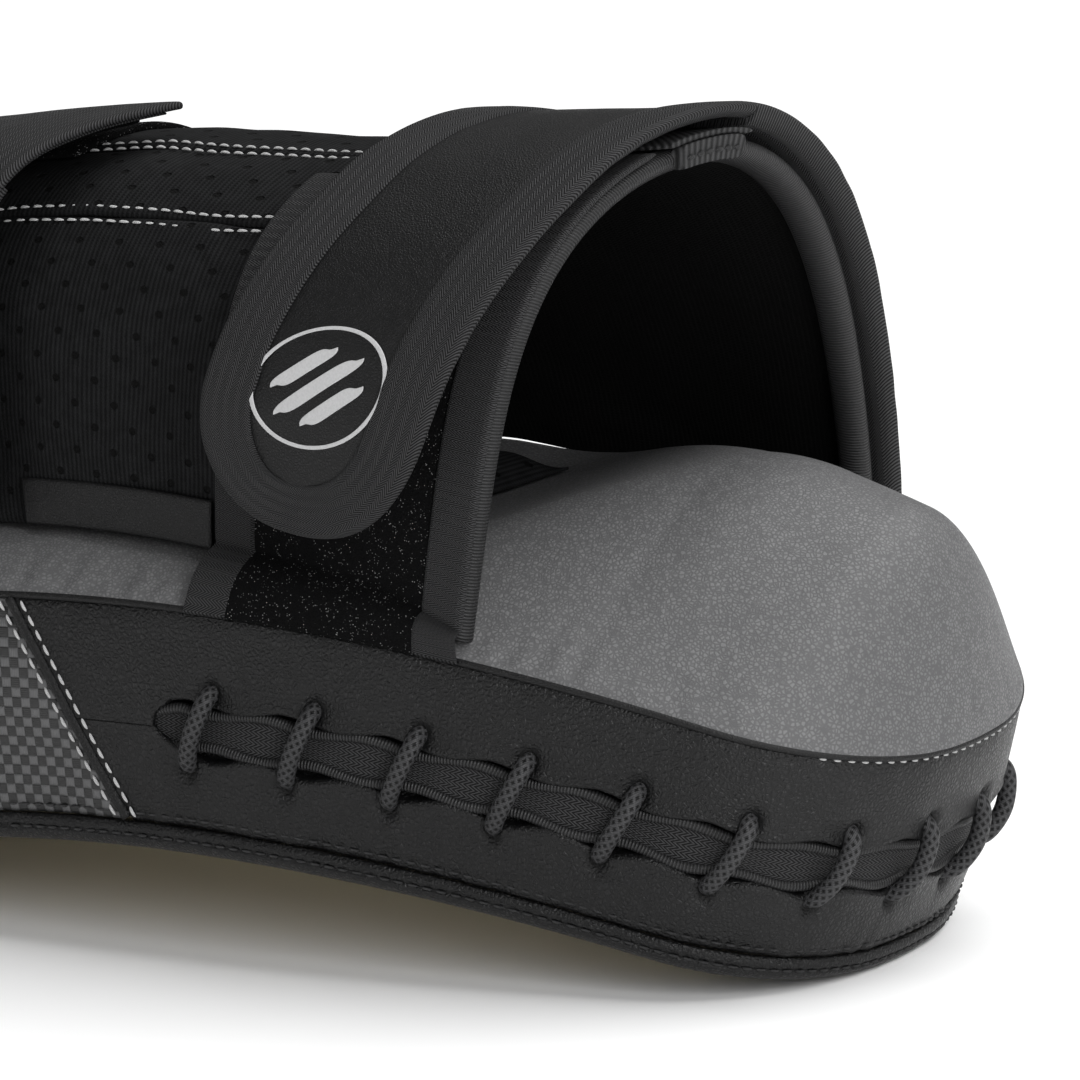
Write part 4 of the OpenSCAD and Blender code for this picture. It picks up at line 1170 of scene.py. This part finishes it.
def binding(name, x_from, x_to, width, tops):
    """Folded herringbone binding round the strap's border, between two distances from the tip."""
    low, high = tops
    fold, turn = 1.4, np.linspace(0.2, np.pi - 0.2, 9)
    outer, inner = np.linspace(width, fold, 12), np.linspace(fold, width, 8)
    v = np.concatenate([outer, fold - fold * np.sin(turn), inner])
    bulge = 0.55 * np.sin(np.pi * clamp((width - outer) / width)) ** 0.7
    round_edge = (low + high) / 2 + ((high - low) / 2 - 0.5) * np.cos(turn)
    d = np.concatenate([high - 0.5 + bulge, round_edge, np.full(len(inner), low)])
    if x_from <= 0:
        pieces = [outline(0, x_to)]
    else:
        x = np.linspace(x_from, x_to, 170)
        pieces = [(x, np.full(170, STRAP_HALF)), (x[::-1], np.full(170, -STRAP_HALF))]
    made = []
    for k, (x, y) in enumerate(pieces):
        run = np.concatenate([[0], np.cumsum(np.hypot(np.diff(x), np.diff(y)))])
        dx, dy = np.gradient(x, run), np.gradient(y, run)
        size = np.hypot(dx, dy)
        nx, ny = dy / size, -dx / size
        if np.mean(ny * y) > 0:
            nx, ny = -nx, -ny
        px, py = x[:, None] + nx[:, None] * v, y[:, None] + ny[:, None] * v
        wave = 0.14 * noise(run[:, None] / 6, v[None, :] / 5, 81)
        uv = np.stack(np.broadcast_arrays(run[:, None], v[None, :]), -1)
        points = ELBOW_STRAP.point(px, py, d[None, :] + wave)
        made.append(loft(f"{name}_{k}", points, finish("twill"), uv))
    return made


def strap_skin(name, x0, x1, inset, d0, d1, material, crown=0.5, tip=False):
    """The strap's inner leather between two distances from the tip."""
    x = np.linspace(max(x0, inset + 0.3), x1, 200)
    if tip:
        a = np.linspace(0.05, np.pi / 2, 60)
        straight = np.linspace(TIP_RUN, x1, 150)[1:]
        x = np.concatenate([TIP_RUN - (TIP_RUN - inset) * np.cos(a) ** 0.9, straight])
        half = np.concatenate([(STRAP_HALF - inset) * np.sin(a) ** 0.9, np.full(149, STRAP_HALF - inset)])
    else:
        half = np.full(len(x), STRAP_HALF - inset)
    f = np.linspace(-1, 1, 50)[None, :]
    y = f * half[:, None]
    top = d1 + crown * (1 - f ** 2) - 0.6 * np.abs(f) ** 14 + 0.2 * noise(x[:, None] / 11, y / 9, 91)
    upper, lower = ELBOW_STRAP.point(x[:, None], y, top), ELBOW_STRAP.point(x[:, None], y[:, ::-1], d0)
    points = np.concatenate([upper, lower], 1)
    flow = np.stack([np.broadcast_to(x[:, None], y.shape), y], -1)
    uv = np.concatenate([flow, flow[:, ::-1]], 1)
    return loft(name, points, material, uv, extra={"hole": np.zeros(points.shape[:2])})


def bend_between(obj, strap, share, top, reach_mm=9.0, nodes=()):
    """Hides any CAD nodes it is given and bakes a piece's transform into its mesh. It works out the ends of
    the hinge at a share of the arch but does not use them, so nothing folds.
    """
    x = strap.at_share(share)
    start, end = strap.point(x + 0.5 * reach_mm, 0, top), strap.point(x - 1.5 * reach_mm, 0, top)
    if nodes:
        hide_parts(*nodes)
    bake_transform(obj)


def build_elbow_strap():
    """The elbow strap: bound leather over hook tape, in a tip half and a root half, with its foot."""
    split = ELBOW_STRAP.at_share(0.53)
    last = float(ELBOW_STRAP.x[-1])
    halves = (("tip", 0.0, split, "strap_a_flap", "strap_a_tip", A_NEAR, ("strap_a_flap", "strap_a_tip")),
              ("root", split, last, "pad", "strap_a_flap", A_FAR, ("strap_a_root",)))
    for label, x0, x1, a, b, share, nodes in halves:
        floor = 2.2 if label == "tip" else 0.2
        skin = strap_skin("elbow_strap_leather_" + label, x0, x1, 13.0, floor + 0.3, 5.9,
                          finish("fine_black"), tip=label == "tip")
        bend_between(skin, ELBOW_STRAP, share, STRAP_T, nodes=nodes)
        for band in binding("elbow_strap_binding_" + label, x0, x1, 14.6, (floor, STRAP_T)):
            bend_between(band, ELBOW_STRAP, share, STRAP_T)
    section_y, section_d = section(-STRAP_HALF, STRAP_HALF, 0.2, STRAP_T, 40, 2.0)
    s = ELBOW_STRAP.mid + section_y
    upper = elbow_surface(s, A_ROOT - 0.004, section_d)
    foot_at = s + SKEW * 2 * ARM_W
    lower = bend(foot_at, half_at(foot_at) + mix(2.0, 5.0, section_d / STRAP_T), WALL + 1.5)
    points = np.array([mix(upper, lower, k) for k in np.linspace(0, 1, 30)])
    uv = np.stack(np.broadcast_arrays(np.linspace(0, 30, 30)[:, None], section_y[None, :]), -1)
    place(loft("elbow_strap_foot", points, finish("twill"), uv), "pad", "webbing")
    hook = shell("elbow_hook_tape", (A_END + 0.05, A_NEAR - 0.02), (A_HAND + 9, A_ELBOW - 9), (0.0, 1.9),
                 finish("hook"), 70, 30, 0.5, surface=elbow_surface)
    place(hook, "strap_a_tip", "hook_tape", "strap_a_hook")


def build_mark():
    """A plain round mark on the strap's tip: a ring round three slanted bars."""
    x0, top = ELBOW_STRAP.at_share(0.172), 6.75
    strap_point = ELBOW_STRAP.point
    q = np.linspace(0, TAU, 200, endpoint=False)
    v, d = section(-0.55, 0.55, 0.0, 0.35, 3, 0.3)
    r = MARK_R + v[None, :]
    ring = strap_point(x0 + r * np.cos(q)[:, None], r * np.sin(q)[:, None], top - 0.55 + d[None, :])
    place(loft("mark_ring", ring, finish("mark"), ring=True), "strap_a_tip", "badge", "strap_a_badge")
    for k, (shift, half) in enumerate(((-7.2, 8.6), (0.0, 12.4), (7.2, 8.6))):
        w = np.linspace(-half, half, 40)[:, None]
        v, d = section(-2.1, 2.1, 0.0, 0.35, 8, 0.3)
        taper = np.sqrt(np.maximum(0.02, 1 - (w / half) ** 6))
        along, aside = w + v[None, :] * 0.5, shift + v[None, :] * taper
        c, z = np.cos(MARK_TURN), np.sin(MARK_TURN)
        points = strap_point(x0 + along * c - aside * z, along * z + aside * c, top - 0.5 + d[None, :])
        place(loft(f"mark_bar_{k}", points, finish("mark")), "strap_a_tip", "badge")


WRIST_STRAP = Strap(over_b, 0.02, B_END, (B_HAND + B_ELBOW) / 2, STRAP_B_T)


def build_wrist_strap():
    """The wrist strap: two layers of webbing in two spans, cut between its hinges, with its hook tape."""
    strap = WRIST_STRAP
    cut = strap.at_share((B_HINGE + B_PEEL) / 2)
    last, tip_nodes = float(strap.x[-1]), ("strap_b_flap", "strap_b_tip")
    spans = (("root", 0.0, cut, "pad", "strap_b_flap", B_HINGE, ("strap_b_root",), 0.0),
             ("tip", cut, last, "strap_b_flap", "strap_b_tip", B_PEEL, tip_nodes, 1.9))
    for label, x0, x1, a, b, share, nodes, floor in spans:
        for layer, low, high, less in (("upper", 2.7, STRAP_B_T, 0.0), ("under", floor, 2.6, 1.2)):
            x = np.linspace(x0, x1 - (4.0 if layer == "under" and label == "tip" else 0), 130)
            y, d = section(-30 + less, 30 - less, low, high, 40, 1.0)
            crown = 0.3 * noise(x[:, None] / 14, y[None, :] / 9, 95)
            points = strap.point(x[:, None], y[None, :], d[None, :] + crown)
            uv = np.stack(np.broadcast_arrays(x[:, None], y[None, :]), -1)
            obj = loft(f"wrist_strap_{label}_{layer}", points, finish("twill"), uv)
            x_at = strap.at_share(share)
            start, end = strap.point(x_at - 8, 0, STRAP_B_T), strap.point(x_at + 8, 0, STRAP_B_T)
            if layer == "upper":
                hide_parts(*nodes)
            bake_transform(obj)
    hook = shell("wrist_hook_tape", (B_PEEL + 0.02, B_END - 0.03), (B_HAND + 6, B_ELBOW - 6), (0.0, 1.6),
                 finish("hook"), 40, 30, 0.5, surface=over_b)
    place(hook, "strap_b_tip", "hook_tape", "strap_b_hook")


def build_grip():
    """The hand grip's wrap, and finishes for its bar, tabs, screws and rivets."""
    centre, a = bend(GRIP_S, 0.0, GRIP_N), GRIP_S / BEND + TILT
    out, along = np.array([np.sin(a), 0, np.cos(a)]), np.array([np.cos(a), 0, -np.sin(a)])
    y = np.linspace(-GRIP_LEN / 2 + 0.7, GRIP_LEN / 2 - 0.7, 260)
    q = np.linspace(0, TAU, 64, endpoint=False)
    end = np.minimum(y - y[0], y[-1] - y)
    radius = (GRIP_D / 2 - 0.2 - 1.6 * np.exp(-end / 1.2))[:, None]
    wind = (y[:, None] / 12 + q[None, :] / TAU) % 1
    radius = radius - 0.7 * np.exp(-(np.minimum(wind, 1 - wind) / 0.05) ** 2)
    ring = np.cos(q)[None, :, None] * along + np.sin(q)[None, :, None] * out
    points = centre + radius[..., None] * MM * ring + (y * MM)[:, None, None] * np.array([0, 1, 0])
    uv = np.stack(np.broadcast_arrays(y[:, None], q[None, :] * GRIP_D / 2), -1)
    place(loft("grip_wrap_tape", points, finish("wrap"), uv), "pad", "grip_wrap", "grip_wrap")
    dress("grip_core", "wood")
    for side in ("near", "far"):
        dress("grip_tab_" + side, "fine_black")
        for piece in ("grip_screw_" + side, f"grip_rivet_{side}_a", f"grip_rivet_{side}_b"):
            dress(piece, "steel")


def dress(node, key):
    """Gives a CAD node a finish."""
    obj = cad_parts[node]
    obj.data.materials.clear()
    obj.data.materials.append(finish(key))


def build_cores():
    """Foam finishes for the pad's inner layers."""
    for node in ("core_strike", "core_middle", "core_back", "core_dome"):
        dress(node, "foam")


# ---- studio ------------------------------------------------------------------------------------


def softbox(name, size, size_y, power, place_at, look_at):
    """A rectangular area light that looks at a point."""
    light = bpy.data.lights.new(name, "AREA")
    light.energy, light.shape, light.size, light.size_y = power, "RECTANGLE", size, size_y
    obj = bpy.data.objects.new(name, light)
    obj.location = place_at
    obj.rotation_euler = (Vector(look_at) - Vector(place_at)).to_track_quat("-Z", "Y").to_euler()
    bpy.context.scene.collection.objects.link(obj)


def build_stage():
    """White floor, soft studio light and the camera.

    A sun as wide as a studio ceiling keeps the floor white all over, and two softboxes give the gloss."""
    scene = bpy.context.scene
    scene.view_settings.view_transform = "Standard"
    mesh = bpy.data.meshes.new("floor")
    side = FLOOR_HALF
    corners = [(-side, -side, 0), (side, -side, 0), (side, side, 0), (-side, side, 0)]
    mesh.from_pydata(corners, [], [(0, 1, 2, 3)])
    floor = bpy.data.objects.new("floor", mesh)
    scene.collection.objects.link(floor)
    paper = Finish("floor_paper", Roughness=0.9)
    paper.shader.inputs["Base Color"].default_value = (0.93, 0.93, 0.93, 1)
    mesh.materials.append(paper.material)
    world = bpy.data.worlds.new("studio")
    scene.world = world
    world.use_nodes = True
    world.node_tree.nodes["Background"].inputs[0].default_value = (1, 1, 1, 1)
    world.node_tree.nodes["Background"].inputs[1].default_value = scene.shield_looks.world
    lamp = bpy.data.lights.new("top_light", "SUN")
    lamp.energy, lamp.angle = scene.shield_looks.top_power, np.radians(SUN_WIDTH)
    above = bpy.data.objects.new("top_light", lamp)
    above.rotation_euler = Vector((0.3, 0.35, 1)).to_track_quat("Z", "Y").to_euler()
    scene.collection.objects.link(above)
    looks = scene.shield_looks
    softbox("side_box", 0.5, 1.0, looks.side_power, (1.3, -0.9, 0.75), (0.08, 0, 0.08))
    softbox("front_box", 0.6, 0.8, looks.front_power, (-0.9, -1.6, 0.9), (-0.05, 0, 0.06))
    build_camera(scene)


def build_camera(scene):
    """A long lens that looks along the pad from its elbow end, leaning with the pad."""
    az, el = np.radians(29.26), np.radians(14.04)
    back = Vector((np.sin(az) * np.cos(el), -np.cos(az) * np.cos(el), np.sin(el)))
    pose = back.to_track_quat("Z", "Y").to_matrix().to_4x4()
    pose.translation = Vector(CAMERA_AIM) + CAMERA_DISTANCE * back
    centre = Matrix.Translation((0, 0, -BEND * MM))
    tilt = centre @ Matrix.Rotation(TILT, 4, "Y") @ centre.inverted()
    lean = Matrix.Translation((0, 0, GROUND * MM)) @ tilt
    data = bpy.data.cameras.new("camera")
    data.sensor_width, data.lens = SENSOR, LENS
    data.shift_x, data.shift_y = LENS_SHIFT
    data.clip_end = 4 * FLOOR_HALF
    camera = bpy.data.objects.new("camera", data)
    camera.matrix_world = lean @ pose
    scene.collection.objects.link(camera)
    scene.camera = camera


# ---- add-on ------------------------------------------------------------------------------------


def tint(name, value, note):
    """A colour setting."""
    return FloatVectorProperty(name=name, description=note, subtype="COLOR", min=0, max=1, default=value)


class ShieldSizes(bpy.types.PropertyGroup):
    """Sizes of the surface detail, in millimetres."""

    grain: FloatProperty(name="Leather grain", description="Width of one pebble", default=1.5, min=0.5, max=4)
    check: FloatProperty(name="Woven check", description="Width of one check", default=2.8, min=1, max=8)


class ShieldLooks(bpy.types.PropertyGroup):
    """Colours of the pieces and strength of the lights."""

    # painted shade and highlight: for the black and the grey leather, the first colour fills the creases and
    # the light colour the raised grain
    black: tint("Black leather", (0.002, 0.002, 0.0022), "Creases of the black leather")
    black_light: tint("Black leather, light", (0.006, 0.006, 0.0064), "Raised grain of the black leather")
    grey: tint("Grey leather", (0.085, 0.085, 0.087), "Creases of the grey leather")
    grey_light: tint("Grey leather, light", (0.15, 0.15, 0.152), "Raised grain of the grey leather")
    # painted sheen: the light colour of the alternate checks
    weave_light: tint("Woven panel, light", (0.07, 0.07, 0.072), "Bright checks")
    # painted shade and highlight: the webbing's first colour fills the valleys and its light colour the rib
    # crowns
    cloth: tint("Webbing", (0.0015, 0.0015, 0.0016), "Valleys of the webbing")
    cloth_light: tint("Webbing, light", (0.04, 0.04, 0.0415), "Ribs of the webbing")
    # painted highlight: the cuff tape's light colour marks its rib crowns
    tape_light: tint("Cuff tape, light", (0.03, 0.03, 0.031), "Ribs of the cuff roll")
    # painted highlight: the lace's light colour marks its strand crowns
    lace_light: tint("Lace, light", (0.045, 0.045, 0.047), "Strands of the lace")
    # painted shade and highlight: the knit's first colour fills its valleys and its light colour its ribs
    knit: tint("Neoprene", (0.0025, 0.0026, 0.0028), "Valleys of the knit")
    knit_light: tint("Neoprene, light", (0.011, 0.0113, 0.012), "Ribs of the knit")
    white_thread: tint("White thread", (0.62, 0.62, 0.62), "Light stitches")
    dark_thread: tint("Dark thread", (0.02, 0.02, 0.021), "Dark stitches")
    mark: tint("Mark", (0.36, 0.36, 0.365), "Shaded parts of the mark")
    mark_light: tint("Mark, light", (0.55, 0.55, 0.555), "Lit parts of the mark")
    foam: tint("Foam", (0.6, 0.52, 0.36), "Cut foam")
    wood: tint("Wood", (0.28, 0.16, 0.07), "Dark grain of the grip bar")
    wood_light: tint("Wood, light", (0.5, 0.33, 0.17), "Light grain of the grip bar")
    steel: tint("Steel", (0.62, 0.62, 0.64), "Screws and rivets")
    world: FloatProperty(name="Sky", description="Strength of the even light", default=0.1, min=0)
    top_power: FloatProperty(name="Top light", description="Strength of the light above", default=3.6, min=0)
    side_power: FloatProperty(name="Side light", description="Watts of the side softbox", default=16, min=0)
    front_power: FloatProperty(name="Front light", description="Watts of the front softbox", default=5, min=0)


class Step:
    """What every build button shares."""

    bl_options = {"REGISTER", "UNDO"}


class SHIELD_OT_cores(Step, bpy.types.Operator):
    """Finish the foam layers"""

    bl_idname = "shield.cores"
    bl_label = "Cores"

    def execute(self, context):
        build_cores()
        return {"FINISHED"}


class SHIELD_OT_laced_wall(Step, bpy.types.Operator):
    """Build the laced leather wall, its ribs and its lace"""

    bl_idname = "shield.laced_wall"
    bl_label = "Laced Wall"

    def execute(self, context):
        build_laced_wall()
        build_lacing()
        return {"FINISHED"}


class SHIELD_OT_hand_wall(Step, bpy.types.Operator):
    """Build the plain wall round the hand end"""

    bl_idname = "shield.hand_wall"
    bl_label = "Hand Wall"

    def execute(self, context):
        build_hand_wall()
        return {"FINISHED"}


class SHIELD_OT_side_panels(Step, bpy.types.Operator):
    """Build both woven panels with their pipings and stitches"""

    bl_idname = "shield.side_panels"
    bl_label = "Side Panels"

    def execute(self, context):
        build_side_panel(-1, "near")
        build_side_panel(1, "far")
        return {"FINISHED"}


class SHIELD_OT_strike_cover(Step, bpy.types.Operator):
    """Build the striking face, its welt and its stitches"""

    bl_idname = "shield.strike_cover"
    bl_label = "Strike Cover"

    def execute(self, context):
        build_strike_cover()
        return {"FINISHED"}


class SHIELD_OT_back(Step, bpy.types.Operator):
    """Build the padded back and the forearm rest"""

    bl_idname = "shield.back"
    bl_label = "Back"

    def execute(self, context):
        build_back()
        build_rest()
        return {"FINISHED"}


class SHIELD_OT_sleeve(Step, bpy.types.Operator):
    """Build the perforated sleeve and its seams"""

    bl_idname = "shield.sleeve"
    bl_label = "Sleeve"

    def execute(self, context):
        build_sleeve()
        return {"FINISHED"}


class SHIELD_OT_cuff(Step, bpy.types.Operator):
    """Build the cuff roll and the keeper"""

    bl_idname = "shield.cuff"
    bl_label = "Cuff"

    def execute(self, context):
        build_cuff()
        return {"FINISHED"}


class SHIELD_OT_loop_panels(Step, bpy.types.Operator):
    """Build the loop panels and their borders"""

    bl_idname = "shield.loop_panels"
    bl_label = "Loop Panels"

    def execute(self, context):
        build_loop_panels()
        return {"FINISHED"}


class SHIELD_OT_elbow_strap(Step, bpy.types.Operator):
    """Build the elbow strap and its mark"""

    bl_idname = "shield.elbow_strap"
    bl_label = "Elbow Strap"

    def execute(self, context):
        build_elbow_strap()
        build_mark()
        return {"FINISHED"}


class SHIELD_OT_wrist_strap(Step, bpy.types.Operator):
    """Build the wrist strap"""

    bl_idname = "shield.wrist_strap"
    bl_label = "Wrist Strap"

    def execute(self, context):
        build_wrist_strap()
        return {"FINISHED"}


class SHIELD_OT_grip(Step, bpy.types.Operator):
    """Build the hand grip"""

    bl_idname = "shield.grip"
    bl_label = "Grip"

    def execute(self, context):
        build_grip()
        return {"FINISHED"}


class SHIELD_OT_studio(Step, bpy.types.Operator):
    """Build the floor, the lights and the camera"""

    bl_idname = "shield.studio"
    bl_label = "Studio"

    def execute(self, context):
        build_stage()
        return {"FINISHED"}


OPERATORS = (
    SHIELD_OT_cores,
    SHIELD_OT_laced_wall,
    SHIELD_OT_hand_wall,
    SHIELD_OT_side_panels,
    SHIELD_OT_strike_cover,
    SHIELD_OT_back,
    SHIELD_OT_sleeve,
    SHIELD_OT_cuff,
    SHIELD_OT_loop_panels,
    SHIELD_OT_elbow_strap,
    SHIELD_OT_wrist_strap,
    SHIELD_OT_grip,
    SHIELD_OT_studio,
)


class SHIELD_PT_panel(bpy.types.Panel):
    """Buttons, sizes and colours of the shield's looks."""

    bl_idname = "SHIELD_PT_panel"
    bl_label = "Kick Shield"
    bl_space_type = "VIEW_3D"
    bl_region_type = "UI"
    bl_category = "Kick Shield"

    def draw(self, context):
        for group in (context.scene.shield_sizes, context.scene.shield_looks):
            for key in group.bl_rna.properties.keys():
                if key not in ("rna_type", "name"):
                    self.layout.prop(group, key)
        for kind in OPERATORS:
            self.layout.operator(kind.bl_idname)


CLASSES = (ShieldSizes, ShieldLooks, *OPERATORS, SHIELD_PT_panel)


def register():
    for kind in CLASSES:
        bpy.utils.register_class(kind)
    bpy.types.Scene.shield_sizes = PointerProperty(type=ShieldSizes)
    bpy.types.Scene.shield_looks = PointerProperty(type=ShieldLooks)


def unregister():
    del bpy.types.Scene.shield_looks
    del bpy.types.Scene.shield_sizes
    for kind in reversed(CLASSES):
        bpy.utils.unregister_class(kind)


def main():
    register()
    for kind in OPERATORS:
        group, name = kind.bl_idname.split(".")
        getattr(getattr(bpy.ops, group), name)()


if __name__ == "__main__":
    main()
